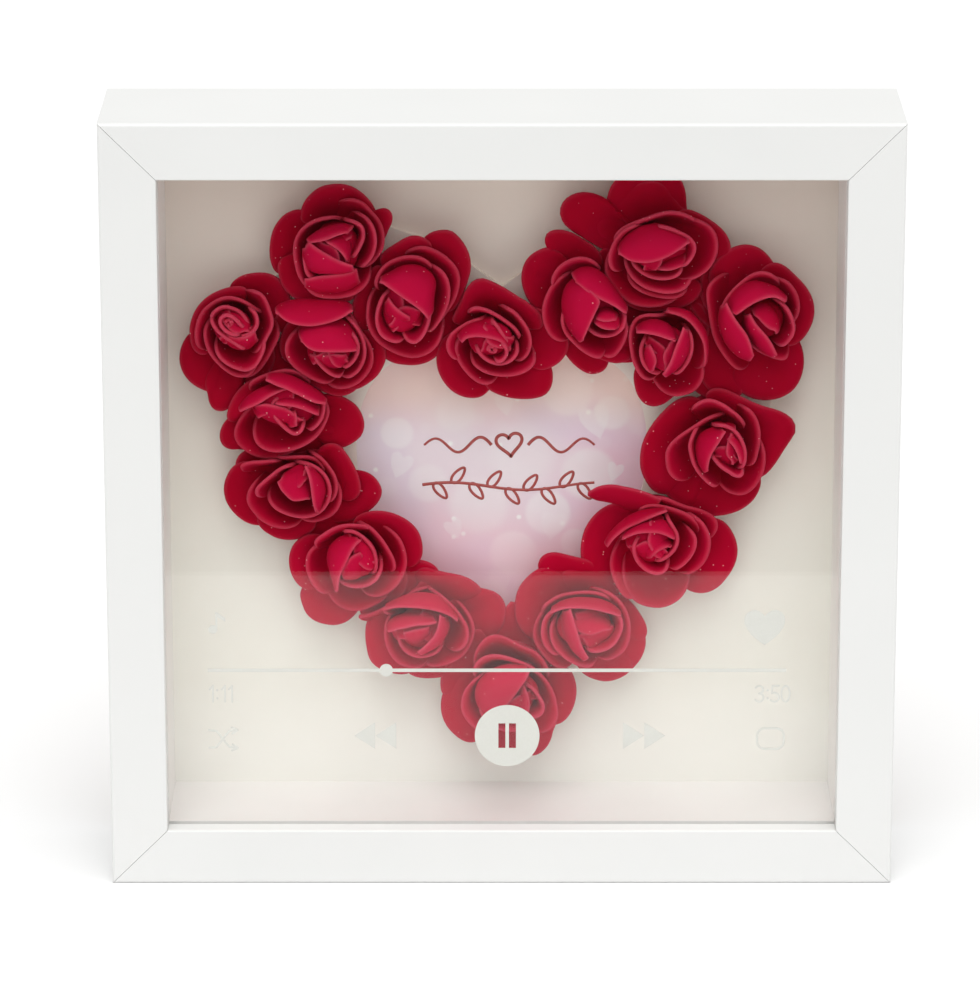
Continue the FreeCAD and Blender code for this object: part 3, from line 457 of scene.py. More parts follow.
         [(-9.4, 4.2), (-8.1, 6.8), (-5.2, 8.3), (-1.8, 8.9), (1.9, 7.8), (4.3, 5.2), (5.6, 1.8)]),
        ("F", (11, 17), [(-15.0, 11.0), (-13.7, 9.5), (-11.6, 8.2), (-9.0, 7.5), (-6.1, 7.3), (-3.2, 7.7), (-0.3, 8.6), (2.3, 9.8), (4.4, 11.3)],
         [(-15.4, 10.4), (-13.8, 11.8), (-11.5, 12.6), (-8.6, 13.0), (-5.2, 13.0), (-1.8, 12.9), (0.8, 12.6), (2.9, 12.1), (4.2, 11.0)]),
        ("Q", 4, [(-9.0, -12.7), (-13.0, -10.6), (-17.1, -9.0), (-19.6, -5.8), (-18.0, -2.6), (-15.0, -0.2), (-11.1, 1.9)]),
        ("Q", 5, [(-9.3, -1.0), (-12.4, 0.8), (-15.1, 3.5), (-15.9, 6.1), (-14.3, 8.2), (-11.3, 8.8), (-7.7, 7.7)]),
    ],
    5: [
        ("L", 9, [(-11.9, 4.9), (-9.8, 7.5), (-8.2, 10.7), (-7.0, 13.3), (-5.4, 15.2), (-3.2, 15.9), (-0.6, 15.0), (2.6, 13.3), (5.7, 11.2), (8.6, 9.4), (11.5, 6.8), (13.4, 3.4)]),
        ("L", 7, [(-12.2, 1.2), (-14.0, -1.9), (-14.7, -5.0), (-14.4, -8.2), (-13.2, -11.0), (-11.4, -13.4), (-8.7, -15.2), (-5.8, -15.9), (-3.5, -15.6), (-1.4, -13.9), (0.5, -11.6)]),
        ("L", 7, [(-3.7, -11.0), (-1.6, -13.5), (0.5, -14.7), (3.4, -15.7), (6.5, -16.1), (10.2, -15.9), (12.9, -15.0), (14.3, -13.0), (14.7, -10.3), (14.2, -7.6), (12.3, -5.0)]),
        ("L", 8, [(8.1, 8.8), (12.1, 7.4), (16.0, 4.5), (18.4, 1.0), (18.6, -2.7), (16.8, -5.8), (14.4, -7.6), (11.8, -9.2)]),
        ("C", 13, [(-9.5, -6.4), (-11.6, -3.6), (-12.4, -0.5), (-12.0, 1.6), (-10.8, 3.4), (-9.0, 4.7), (-6.6, 6.0), (-4.0, 6.9), (-1.4, 7.9)]),
        ("C", 12, [(-9.0, 3.2), (-10.1, 0.6), (-10.3, -2.0), (-9.5, -4.6), (-7.9, -7.2), (-5.8, -9.5), (-3.5, -10.9), (-0.8, -11.3), (1.8, -10.6)]),
        ("C", 13.5, [(-7.6, -3.2), (-5.8, -5.5), (-3.4, -7.2), (-0.8, -8.2), (2.6, -8.6), (6.0, -8.1), (8.9, -6.8), (11.0, -4.9), (12.1, -2.1)]),
        ("C", 14, [(-8.7, 8.9), (-5.5, 10.3), (-2.4, 9.7), (0.2, 8.3), (2.6, 6.7), (4.7, 5.0), (6.5, 2.9), (7.6, 0.3)]),
        ("C", 13, [(1.5, 11.0), (4.4, 9.4), (6.5, 7.3), (8.3, 4.6), (9.3, 2.0), (9.4, -0.5), (8.6, -3.1), (7.0, -4.9), (4.7, -6.2)]),
        ("C", 15.5, [(-1.6, 7.8), (0.2, 6.0), (1.5, 4.1), (2.8, 2.1), (3.9, -0.3), (4.0, -2.9)]),
        ("C", 16, [(-5.8, 1.4), (-4.7, -0.6), (-3.4, -2.5), (-1.6, -4.0), (0.7, -4.8), (3.1, -4.4), (4.9, -3.2), (6.1, -1.4), (6.6, 0.9)]),
        ("F", (11, 17), [(-8.1, 1.2), (-7.1, 2.4), (-5.0, 2.9), (-2.6, 2.8), (-0.3, 2.3), (1.5, 1.5), (2.8, -0.1)],
         [(-9.5, 1.9), (-7.9, 4.2), (-4.8, 5.7), (-1.4, 5.5), (1.5, 4.0), (3.4, 1.6), (3.9, -0.7)]),
        ("C", 16.8, [(0.8, 1.9), (2.3, 0.9), (3.2, -0.9), (2.8, -2.7), (1.3, -3.9), (-0.8, -3.5)]),
        ("R", 16.8, (-0.6, -0.5), 1.34),
        ("Q", 5, [(-7.2, 6.1), (-9.5, 7.9), (-11.8, 8.5), (-13.5, 6.9), (-14.6, 3.7), (-14.3, -0.2), (-12.8, -3.9)]),
    ],
    6: [
        ("L", 6, [(6.3, 3.2), (9.9, 3.6), (13.1, 2.7), (15.7, 0.9), (17.3, -1.7), (17.9, -4.6), (17.1, -7.4), (15.2, -9.1), (12.6, -10.4), (9.9, -10.5), (6.8, -9.1)]),
        ("L", 6, [(-12.7, 0.6), (-15.6, -1.7), (-18.0, -4.3), (-18.9, -7.2), (-18.3, -9.6), (-16.4, -10.8), (-14.1, -10.8), (-11.7, -11.9)]),
        ("L", 9, [(-17.3, -3.2), (-16.5, 0.5), (-15.2, 3.6), (-13.4, 5.9), (-11.0, 8.0), (-8.4, 9.3)]),
        ("C", 11.5, [(-13.5, 6.4), (-11.4, 8.8), (-8.8, 10.1), (-5.3, 11.2), (-2.5, 11.9), (0.2, 11.9), (3.1, 10.8), (5.7, 9.0)]),
        ("C", 9.5, [(-9.9, 3.5), (-12.5, 0.7), (-14.4, -2.3), (-15.2, -5.1), (-14.9, -7.3), (-13.6, -9.3), (-11.2, -11.2), (-8.3, -12.3), (-5.2, -12.5), (-2.3, -12.0), (0.6, -11.1), (3.8, -9.3)]),
        ("C", 12.5, [(-11.3, -1.1), (-11.1, -4.7), (-9.8, -7.6), (-7.4, -9.3), (-4.2, -9.9), (-1.1, -9.5), (1.8, -8.6), (4.4, -7.1), (6.8, -5.0), (8.6, -2.1), (9.8, 1.0), (9.4, 3.6), (7.6, 5.7)]),
        ("F", (12, 16.5), [(-13.2, 1.9), (-10.8, 3.0), (-8.2, 4.3), (-5.6, 6.0), (-3.5, 7.1), (-1.4, 8.0)],
         [(-13.6, 1.8), (-12.6, 3.6), (-10.7, 5.5), (-8.1, 7.0), (-5.0, 7.9), (-1.8, 7.8)]),
        ("C", 16, [(-1.5, 7.0), (-3.6, 5.9), (-5.0, 4.6), (-5.4, 3.1), (-4.9, 1.2), (-3.8, -0.6), (-2.4, -2.2), (-0.9, -3.5), (0.6, -4.2), (1.9, -3.7), (3.0, -1.9), (3.5, 0.5)]),
        ("C", 15, [(6.6, 6.9), (8.2, 4.8), (8.4, 2.2), (7.7, -0.3), (5.8, -2.7), (3.5, -4.5)]),
        ("F", (12, 17.3), [(-4.3, 4.1), (-1.4, 3.8), (1.2, 3.4), (3.8, 2.5), (6.7, 1.1)],
         [(-3.9, 4.2), (-1.3, 5.8), (1.8, 5.8), (4.7, 4.5), (6.8, 2.4)]),
        ("F", (12, 18), [(-6.6, 10.8), (-4.0, 9.4), (-1.4, 8.4), (1.2, 7.1), (3.9, 5.7), (6.2, 4.7), (8.6, 4.4)],
         [(-6.5, 10.7), (-4.2, 11.2), (-1.3, 10.8), (1.9, 9.5), (4.7, 7.7), (7.1, 5.9), (8.7, 4.1)]),
        ("F", (11, 16.5), [(0.9, 2.2), (1.3, 0.6), (1.2, -1.5)],
         [(-1.9, 1.1), (-2.5, -0.7), (-1.1, -2.8)]),
    ],
    7: [
        ("L", 8, [(4.4, 8.9), (7.0, 11.0), (9.7, 10.8), (12.0, 8.2), (13.9, 4.8), (15.2, 1.4), (15.5, -1.8), (13.9, -5.1)]),
        ("L", 5.5, [(11.7, 2.2), (14.9, 2.9), (17.8, 2.3), (19.9, 0.3), (20.9, -2.3), (20.1, -4.9), (18.0, -7.2), (14.9, -9.3), (11.7, -10.6), (8.0, -11.4)]),
        ("L", 6, [(-11.0, 5.2), (-14.4, 5.7), (-17.0, 4.4), (-18.6, 1.8), (-19.4, -1.1), (-19.1, -4.2), (-17.8, -6.8), (-15.7, -9.2), (-13.1, -11.0), (-9.4, -12.3)]),
        ("L", 7, [(-12.0, -9.6), (-9.9, -11.9), (-8.0, -13.3), (-5.7, -14.5), (-3.0, -14.9), (-0.4, -14.6), (2.0, -13.4), (4.6, -11.5)]),
        ("C", 11, [(-7.6, 9.9), (-4.4, 8.8), (-1.3, 9.0), (1.9, 9.1), (4.5, 8.3), (6.6, 6.2), (7.9, 3.6)]),
        ("C", 12, [(-4.9, 8.4), (-9.1, 8.0), (-12.8, 7.6), (-15.4, 6.5), (-16.7, 4.5)]),
        ("C", 11.5, [(-12.3, 3.5), (-13.3, 0.7), (-13.7, -1.9), (-13.3, -4.0), (-12.0, -6.1), (-10.2, -8.2), (-7.5, -9.8), (-4.4, -10.7), (-1.2, -10.8), (1.7, -10.3)]),
        ("C", 12.5, [(3.0, 11.6), (5.4, 9.5), (7.7, 6.8), (9.6, 3.7), (10.0, 0.7), (9.3, -2.2), (7.5, -5.3)]),
        ("C", 11, [(10.8, 2.8), (11.2, -0.3), (11.0, -2.6), (10.2, -5.0), (8.7, -6.9), (6.9, -8.1), (4.0, -9.0), (1.1, -9.1), (-1.5, -8.9)]),
        ("C", 14.3, [(-0.6, 7.5), (-2.9, 7.2), (-5.3, 6.1), (-7.9, 4.1), (-10.0, 2.3), (-11.2, 0.8), (-11.3, -1.1), (-10.3, -3.1)]),
        ("C", 14.5, [(-1.9, 8.1), (2.0, 8.2), (4.9, 7.0), (7.0, 5.0), (8.3, 2.1), (8.3, -1.0), (7.0, -3.9), (4.9, -5.9), (2.0, -6.8), (-1.1, -6.7), (-4.2, -5.8), (-7.1, -4.2), (-9.0, -2.2), (-9.5, 0.0)]),
        ("F", (11, 17.5), [(-5.4, 3.6), (-4.4, 1.5), (-3.1, -0.0), (-1.5, -1.3), (0.9, -1.1), (3.0, -0.6)],
         [(-3.8, 4.3), (-1.4, 5.9), (1.2, 6.7), (2.5, 4.1), (3.3, 0.4), (3.0, -1.4)]),
        ("F", (11, 18.5), [(1.8, 8.3), (2.7, 5.2), (3.1, 2.6), (3.4, 0.0), (3.8, -2.3), (4.6, -3.9)],
         [(2.3, 7.0), (4.6, 5.5), (6.5, 3.1), (7.0, 0.5), (6.2, -2.6), (4.9, -5.4)]),
        ("Q", 4.5, [(-17.3, 2.9), (-15.7, 7.2), (-11.1, 9.4), (-4.4, 10.2), (1.2, 11.8), (5.4, 13.1), (9.4, 11.5), (12.2, 7.8)]),
    ],
    8: [
        ("L", 7, [(-0.4, 11.1), (3.1, 12.4), (6.0, 12.7), (8.9, 12.2), (11.8, 10.9), (14.1, 9.3), (16.0, 7.0), (17.0, 3.8), (17.0, 0.4), (15.7, -3.0)]),
        ("L", 8, [(-10.3, 7.3), (-13.7, 6.0), (-15.9, 3.9), (-16.9, 1.0), (-16.9, -1.8), (-16.1, -4.5), (-14.5, -7.1), (-12.4, -9.4)]),
        ("L", 6, [(-13.6, -7.0), (-14.4, -10.1), (-13.8, -12.7), (-12.8, -15.1), (-10.9, -16.9), (-8.3, -17.9), (-5.7, -18.2), (-3.0, -17.5), (-0.4, -15.6), (1.7, -13.2)]),
        ("L", 7, [(11.8, -2.4), (13.1, -5.0), (12.8, -8.2), (11.2, -10.8), (8.6, -12.9)]),
        ("C", 12, [(-8.6, 6.8), (-11.2, 4.7), (-12.5, 2.6), (-12.8, 0.0), (-12.3, -2.9), (-10.9, -5.7), (-9.1, -8.1), (-6.5, -9.9)]),
        ("C", 13.5, [(-11.9, 4.1), (-10.9, 7.0), (-8.5, 8.8), (-5.4, 10.6), (-2.5, 11.4), (0.4, 11.5), (3.5, 11.2), (6.1, 9.6)]),
        ("C", 13, [(0.9, 12.8), (3.2, 11.5), (5.1, 9.8), (6.9, 7.6), (8.8, 4.6), (10.1, 1.9), (10.9, -1.0), (10.6, -3.8)]),
        ("C", 11, [(8.7, 10.9), (11.3, 8.0), (12.6, 4.9), (13.3, 1.8), (13.2, -1.1), (12.1, -4.0), (10.3, -6.6), (8.2, -8.3), (5.6, -9.4), (2.9, -9.4), (0.3, -8.4)]),
        ("C", 9.5, [(-8.9, -6.6), (-7.4, -9.4), (-5.3, -11.5), (-2.9, -12.9), (-0.3, -13.5), (2.1, -13.2), (5.0, -12.0), (8.1, -10.5), (11.3, -8.4)]),
        ("C", 15, [(-6.6, -1.1), (-4.5, -3.4), (-1.9, -5.0), (0.4, -5.4), (3.0, -5.0), (5.4, -3.4), (7.0, -0.8), (7.8, 2.3)]),
        ("C", 15.5, [(-4.3, 10.5), (-1.1, 10.6), (1.5, 9.3), (3.6, 7.4), (5.2, 4.8), (5.7, 1.9), (5.5, -0.9), (4.1, -3.5)]),
        ("F", (11, 17.2), [(-3.4, -0.9), (-2.5, 1.7), (-0.8, 4.1), (1.3, 4.8)],
         [(-3.0, -3.5), (-0.4, -4.0), (2.2, -2.7), (3.0, -0.1), (2.7, 2.5)]),
        ("F", (11, 18.3), [(1.8, 8.4), (0.3, 6.9), (-0.9, 4.9), (-1.9, 2.6), (-3.0, 0.5), (-3.9, -1.8), (-4.3, -4.9)],
         [(0.6, 7.8), (-2.2, 7.9), (-4.9, 6.6), (-6.6, 4.4), (-7.1, 1.6), (-6.4, -1.8), (-5.6, -4.7), (-5.0, -7.0)]),
        ("Q", 5, [(-15.3, 2.1), (-14.5, 6.7), (-11.4, 9.9), (-7.5, 11.5), (-3.6, 12.1), (-0.3, 11.0)]),
    ],
    9: [
        ("L", 6, [(-3.9, 13.1), (-0.7, 13.5), (1.7, 12.8), (4.3, 12.2), (7.2, 11.5), (10.1, 10.5), (12.5, 8.8), (14.6, 6.6)]),
        ("L", 5, [(9.8, 7.8), (13.0, 7.4), (16.4, 6.8), (18.5, 5.2), (19.7, 2.6), (19.6, -0.6), (18.3, -3.7), (15.9, -6.6)]),
        ("L", 7, [(-12.3, 3.0), (-14.7, 1.4), (-16.0, -1.2), (-16.3, -4.3), (-16.0, -7.7), (-15.2, -11.1), (-13.4, -13.2), (-10.7, -14.5), (-7.6, -15.2), (-3.9, -15.5)]),
        ("L", 6, [(-6.8, -14.8), (-3.4, -16.0), (0.3, -16.3), (4.0, -15.8), (7.2, -14.3), (9.8, -12.0)]),
        ("C", 10, [(0.9, 10.5), (-1.4, 10.0), (-3.3, 9.2), (-5.9, 7.5), (-8.8, 5.7), (-11.7, 4.3), (-14.8, 2.8), (-17.5, 1.9), (-19.3, 1.8), (-19.3, 0.6), (-17.5, -0.7)]),
        ("C", 13, [(-0.1, 10.8), (2.5, 9.2), (4.9, 7.0), (7.0, 4.8), (8.8, 2.4), (10.1, 0.1), (10.5, -2.2), (9.9, -4.8), (8.0, -7.2), (5.4, -9.0)]),
        ("C", 11, [(9.3, 5.9), (11.2, 2.3), (12.0, -1.1), (11.4, -4.5), (10.1, -7.1), (8.3, -9.2), (5.9, -10.7), (3.0, -11.8), (-0.1, -12.3), (-3.5, -11.8)]),
        ("C", 12.5, [(-10.1, 4.6), (-11.4, 1.5), (-11.6, -2.1), (-11.1, -5.3), (-9.8, -8.1), (-8.0, -10.2), (-5.3, -11.6), (-2.5, -12.3), (1.0, -12.0)]),
        ("C", 14, [(-10.0, 2.8), (-12.1, 4.9), (-10.3, 6.2), (-7.7, 6.7), (-4.5, 6.7)]),
        ("C", 15.5, [(-6.8, 2.0), (-7.9, -0.8), (-7.9, -3.2), (-7.1, -5.2), (-5.5, -6.8), (-3.4, -7.7), (-0.8, -7.7), (2.1, -6.8), (4.9, -4.7)]),
        ("F", (12, 16.3), [(-11.5, 5.4), (-8.4, 6.0), (-4.7, 6.1), (-1.3, 5.8), (2.1, 5.0), (4.9, 4.0), (7.6, 2.3)],
         [(-11.1, 5.5), (-8.5, 7.0), (-4.8, 8.5), (-1.1, 8.9), (2.3, 8.1), (4.9, 5.7), (7.5, 2.1)]),
        ("F", (11, 17.3), [(-6.3, 0.0), (-3.1, 0.8), (0.2, 1.5)],
         [(-6.4, -2.9), (-4.5, -5.0), (-1.9, -4.8), (0.2, -2.7)]),
        ("F", (12, 18.3), [(-10.2, -0.1), (-8.1, 0.8), (-5.5, 1.3), (-2.6, 2.0), (0.5, 2.1), (2.1, 2.8)],
         [(-10.8, -0.3), (-9.5, 1.8), (-7.1, 3.1), (-3.2, 3.5), (0.2, 3.0), (2.0, 1.8)]),
        ("F", (12, 18), [(2.9, 4.7), (2.3, 1.5), (1.2, -1.1), (-0.7, -3.3), (-2.9, -5.4)],
         [(4.1, 3.1), (5.2, 0.2), (4.1, -2.9), (2.2, -5.2), (-1.9, -7.3)]),
        ("Q", 5, [(-8.4, 3.8), (-7.3, 8.2), (-6.3, 12.5), (-4.5, 15.0), (-1.6, 15.5), (1.7, 13.9), (3.5, 10.9)]),
        ("Q", 5, [(-6.8, 3.8), (-9.1, 5.7), (-12.0, 6.8), (-14.8, 6.6), (-16.9, 4.9), (-18.0, 2.5), (-17.7, -0.2)]),
    ],
    10: [
        ("L", 6, [(-11.9, 3.0), (-15.6, 0.1), (-17.6, -3.5), (-18.0, -7.7), (-16.9, -11.4), (-14.5, -14.5), (-11.9, -16.5), (-8.5, -17.6)]),
        ("L", 7, [(13.7, 5.2), (15.8, 2.6), (16.8, -0.8), (16.7, -4.5), (15.5, -7.9), (13.4, -10.5), (10.8, -12.3)]),
        ("L", 6, [(12.4, -10.3), (11.0, -13.2), (10.3, -15.8), (9.2, -17.9), (7.4, -19.7), (4.5, -21.0)]),
        ("L", 6, [(-9.8, -16.3), (-6.6, -19.0), (-2.9, -20.3), (0.8, -20.5), (4.5, -20.3), (7.6, -18.4)]),
        ("C", 11, [(-11.3, 4.8), (-10.3, 8.9), (-8.4, 12.3), (-6.1, 14.4), (-3.5, 14.8), (-0.3, 13.6), (2.8, 11.8), (6.0, 10.6), (8.4, 8.4), (10.5, 5.3), (12.3, 1.7)]),
        ("C", 14, [(-11.3, 3.0), (-10.5, 6.1), (-9.2, 8.3), (-7.4, 9.7), (-4.8, 10.4), (-1.6, 10.1), (1.5, 9.1), (4.4, 7.8), (7.0, 6.1), (9.4, 3.8)]),
        ("C", 12, [(5.2, 7.2), (7.8, 4.6), (9.9, 1.8), (11.2, -0.8), (12.0, -4.0), (12.3, -6.8), (11.5, -9.4), (9.1, -12.3), (6.0, -14.4)]),
        ("C", 13, [(-6.1, 5.8), (-8.7, 4.2), (-10.5, 2.4), (-12.1, 0.2), (-12.9, -2.6), (-12.8, -5.4), (-11.6, -7.8), (-9.7, -10.1), (-7.1, -12.2), (-3.5, -13.5)]),
        ("C", 15, [(-9.2, -2.1), (-8.2, -5.5), (-6.1, -8.3), (-2.9, -10.1), (0.5, -10.4), (3.9, -9.1), (6.5, -6.8)]),
        ("F", (12, 17), [(3.3, 3.0), (4.4, 0.7), (4.9, -1.6), (4.8, -4.0), (3.9, -6.3)],
         [(1.8, 0.1), (1.0, -2.5), (0.7, -5.4), (1.5, -8.3)]),
        ("C", 17, [(2.3, 3.0), (4.7, 2.9), (6.7, 1.1), (8.0, -1.1), (8.8, -3.0), (8.3, -5.0), (6.5, -6.3), (4.4, -7.1)]),
        ("F", (12, 18.7), [(4.9, 7.0), (3.9, 4.9), (2.6, 3.0), (1.2, 0.9), (-0.3, -1.1), (-2.7, -3.6)],
         [(4.1, 7.0), (-0.3, 7.3), (-4.5, 6.1), (-7.6, 3.6), (-9.2, 0.3), (-8.7, -3.6), (-6.3, -6.7)]),
        ("Q", 4, [(-8.9, 5.8), (-5.8, 10.2), (-3.2, 15.7), (-1.1, 20.3), (0.7, 21.7), (2.8, 19.2), (5.9, 14.0), (9.5, 8.6), (12.4, 4.7)]),
        ("Q", 5.5, [(-7.9, 14.8), (-11.0, 13.7), (-13.8, 11.2), (-15.9, 8.0), (-17.5, 4.1), (-18.3, 0.3), (-18.3, -3.6)]),
    ],
    11: [
        ("L", 6, [(-5.2, 12.5), (-8.9, 13.3), (-11.8, 12.0), (-14.2, 9.8), (-15.8, 7.5), (-16.7, 4.9), (-16.9, 1.8), (-16.6, -1.3), (-15.2, -4.2), (-13.4, -6.1), (-10.5, -8.1)]),
        ("L", 7, [(10.6, 6.1), (13.8, 2.7), (15.6, 0.0), (16.8, -2.6), (16.9, -4.9), (15.6, -7.3)]),
        ("L", 6, [(16.4, -3.7), (16.7, -7.9), (15.9, -11.0), (14.6, -13.1), (12.5, -15.2), (9.8, -16.5)]),
        ("L", 7, [(-1.5, -13.0), (1.1, -15.6), (3.7, -16.9), (6.4, -17.5), (9.3, -17.1), (12.2, -15.6), (14.3, -13.0)]),
        ("L", 6, [(-6.3, 11.5), (-2.6, 13.0), (1.1, 13.0), (4.8, 11.5), (8.0, 8.8), (10.6, 5.7)]),
        ("L", 6.5, [(-10.2, 10.6), (-11.0, 13.7), (-9.7, 16.1), (-7.1, 17.0), (-4.2, 16.6), (-1.0, 15.8), (2.4, 14.8), (5.3, 12.7)]),
        ("C", 10, [(-8.9, 5.0), (-11.2, 1.6), (-12.4, -1.8), (-12.4, -4.9), (-11.3, -7.5), (-9.7, -9.7), (-7.9, -11.8), (-5.3, -13.8), (-1.8, -15.1)]),
        ("C", 12.5, [(-12.1, 1.7), (-10.3, 4.9), (-8.2, 6.4), (-5.6, 7.7), (-2.4, 8.4), (1.0, 8.8), (4.2, 8.6), (7.0, 7.7), (9.7, 5.6)]),
        ("C", 13, [(3.6, 10.4), (6.8, 9.4), (9.4, 7.3), (11.2, 4.7), (12.4, 1.8), (12.8, -1.3), (12.5, -4.4), (11.4, -7.0), (9.4, -9.1), (7.0, -10.6), (3.9, -11.7)]),
        ("C", 13.5, [(-5.8, 6.2), (-8.1, 4.0), (-9.8, 1.8), (-10.4, -0.8), (-10.4, -3.4), (-9.5, -6.0), (-7.7, -8.4), (-5.0, -10.4)]),
        ("C", 14, [(-7.1, 3.0), (-8.2, -0.1), (-8.1, -3.5), (-7.1, -6.1), (-5.3, -8.2), (-3.0, -10.0), (-0.3, -11.3), (2.5, -12.0), (5.7, -11.3)]),
        ("C", 16, [(8.8, 5.2), (10.4, 3.1), (10.9, 0.5), (10.2, -2.0), (8.8, -4.4), (6.8, -5.9), (4.3, -6.7), (2.0, -6.6), (-0.1, -5.2)]),
        ("F", (10, 15.4), [(-2.0, 3.6), (-0.9, 0.5), (0.1, -2.9), (1.4, -5.2)],
         [(2.6, 4.3), (6.2, 2.7), (7.8, -0.7), (6.8, -4.3), (4.1, -6.7)]),
        ("F", (12, 17), [(-8.2, 4.0), (-5.3, 5.3), (-2.2, 5.6), (1.4, 5.4), (4.6, 4.8), (7.5, 4.0), (10.1, 3.1)],
         [(-7.7, 4.2), (-5.0, 6.0), (-1.6, 6.9), (1.8, 6.9), (4.9, 6.5), (8.1, 5.0), (10.2, 2.9)]),
        ("F", (12, 18), [(-2.8, 5.6), (-1.8, 2.5), (-1.0, -0.3), (-0.3, -2.9), (0.6, -5.2), (1.9, -7.6)],
         [(-4.5, 4.0), (-4.9, 1.4), (-4.7, -1.4), (-3.7, -4.3), (-2.2, -6.9), (0.5, -9.5)]),
    ],
    12: [
        ("L", 6, [(-8.0, 9.0), (-11.7, 9.2), (-14.6, 7.7), (-17.0, 5.2), (-18.7, 2.2), (-19.6, -1.5), (-19.6, -5.2), (-18.6, -8.6), (-16.2, -11.7), (-12.8, -13.8)]),
        ("L", 6, [(13.1, 6.1), (16.2, 5.0), (18.3, 2.9), (19.9, -0.2), (20.5, -3.8), (19.7, -7.5), (17.8, -10.6), (15.2, -13.3), (12.0, -14.6), (8.8, -14.4), (6.2, -13.0)]),
        ("C", 10, [(-5.0, 14.1), (-1.0, 13.4), (2.1, 12.6), (5.0, 11.1), (7.9, 10.0), (10.5, 9.3), (13.2, 8.1), (15.0, 6.6), (15.6, 4.5), (15.0, 1.6), (13.4, -1.2)]),
        ("C", 11.5, [(-7.1, 9.7), (-3.5, 11.0), (0.2, 10.9), (3.6, 10.2), (6.8, 9.0), (9.4, 7.3), (11.5, 5.0), (12.6, 2.1)]),
        ("C", 12.5, [(8.1, 10.2), (10.9, 7.7), (12.5, 5.1), (13.4, 2.2), (13.3, -0.9), (12.3, -3.8), (10.7, -6.1), (8.6, -8.2), (6.2, -10.0)]),
        ("C", 10, [(-10.2, -3.3), (-9.8, -7.0), (-9.3, -9.8), (-8.4, -12.2), (-7.1, -14.3), (-5.0, -16.1), (-2.1, -17.2), (1.1, -17.4), (4.2, -16.3), (6.8, -14.3), (8.7, -11.4), (9.7, -8.0)]),
        ("C", 11, [(-11.1, 2.0), (-12.1, -1.4), (-12.5, -4.8), (-12.1, -7.7), (-11.1, -10.5), (-9.7, -13.1), (-7.9, -15.5), (-5.3, -17.6)]),
        ("C", 14, [(8.5, 6.3), (9.8, 3.2), (9.6, -0.2), (8.0, -3.3), (5.6, -5.6), (2.8, -7.4)]),
        ("F", (7, 11), [(-18.1, 13.9), (-15.8, 15.5), (-12.1, 16.2), (-8.7, 15.6), (-5.3, 14.8), (-2.1, 13.7), (0.8, 12.1)],
         [(-18.1, 12.6), (-16.0, 11.2), (-13.6, 10.7), (-11.3, 10.1), (-9.1, 9.2), (-6.0, 7.9), (-2.0, 6.9)]),
        ("F", (11, 15), [(-13.0, 0.4), (-11.7, 2.5), (-10.1, 4.0), (-8.0, 5.5), (-5.7, 6.6), (-3.0, 7.9), (-0.2, 9.2), (2.2, 10.0)],
         [(-13.7, 0.6), (-12.4, 3.2), (-10.0, 5.8), (-7.4, 7.9), (-4.5, 9.2), (-1.1, 9.7), (1.8, 10.0)]),
        ("C", 16, [(2.2, 10.3), (2.9, 8.3), (3.9, 6.4), (4.9, 4.4), (5.0, 2.3), (4.1, -0.0), (2.2, -1.9), (-0.2, -3.1), (-2.5, -3.4)]),
        ("C", 16, [(-4.1, 4.9), (-5.9, 3.3), (-6.7, 1.3), (-6.6, -0.8), (-5.8, -2.9), (-4.4, -4.7), (-2.5, -6.0), (-0.5, -6.5), (1.4, -6.0), (2.6, -4.4), (2.9, -2.4)]),
        ("F", (11, 16.5), [(-1.8, -1.7), (-0.5, -0.4), (1.1, 0.5), (2.9, 1.2)],
         [(-3.2, -2.9), (-4.0, -0.0), (-2.7, 2.6), (0.2, 3.4), (2.5, 2.3), (3.6, 0.3)]),
        ("F", (13, 17.3), [(-9.6, 3.2), (-7.8, 4.0), (-5.7, 4.8), (-2.8, 5.1), (-0.2, 5.0), (1.9, 4.3), (3.7, 3.2)],
         [(-9.3, 3.1), (-7.5, 4.9), (-4.6, 6.5), (-1.2, 7.4), (1.4, 7.3), (3.3, 5.7), (4.3, 3.4)]),
    ],
    13: [
        ("L", 7, [(-5.3, 13.2), (-8.5, 12.7), (-11.1, 11.4), (-13.8, 9.0), (-16.1, 6.3), (-18.0, 3.3), (-19.3, 0.1), (-19.8, -3.3), (-19.6, -6.7), (-18.3, -9.8), (-16.4, -12.7), (-13.5, -15.0)]),
        ("L", 8, [(-3.8, 15.0), (-1.2, 15.3), (1.7, 14.7), (4.6, 13.4), (7.8, 11.9), (10.9, 10.6), (14.1, 9.7), (17.0, 8.4), (19.1, 6.4), (19.6, 3.8), (18.1, 1.2), (16.5, -1.4), (14.6, -4.8), (12.5, -7.9), (10.4, -10.3)]),
        ("L", 6, [(11.8, -8.8), (10.7, -12.5), (9.2, -15.1), (6.8, -17.2), (3.9, -18.6), (0.5, -19.3), (-2.7, -19.3), (-6.1, -18.5), (-9.5, -16.9)]),
        ("L", 6, [(-15.8, -7.8), (-14.8, -11.2), (-12.4, -14.3), (-9.3, -16.6), (-5.8, -17.9)]),
        ("C", 12, [(2.8, 10.8), (-0.3, 10.1), (-3.2, 8.9), (-5.5, 7.4), (-8.2, 5.6), (-10.8, 3.7), (-12.6, 1.8), (-13.6, -0.2), (-13.7, -2.8), (-13.2, -5.9), (-11.8, -8.7), (-9.2, -11.6)]),
        ("C", 13.5, [(-8.8, 11.7), (-5.9, 13.4), (-3.0, 14.2), (-0.4, 13.5), (2.3, 12.0), (4.6, 10.2), (6.4, 8.2), (7.8, 5.7)]),
        ("C", 12, [(5.7, 14.1), (8.1, 11.3), (9.7, 8.4), (10.5, 5.6), (10.6, 2.4), (10.2, -0.4), (9.7, -3.5), (8.6, -6.7)]),
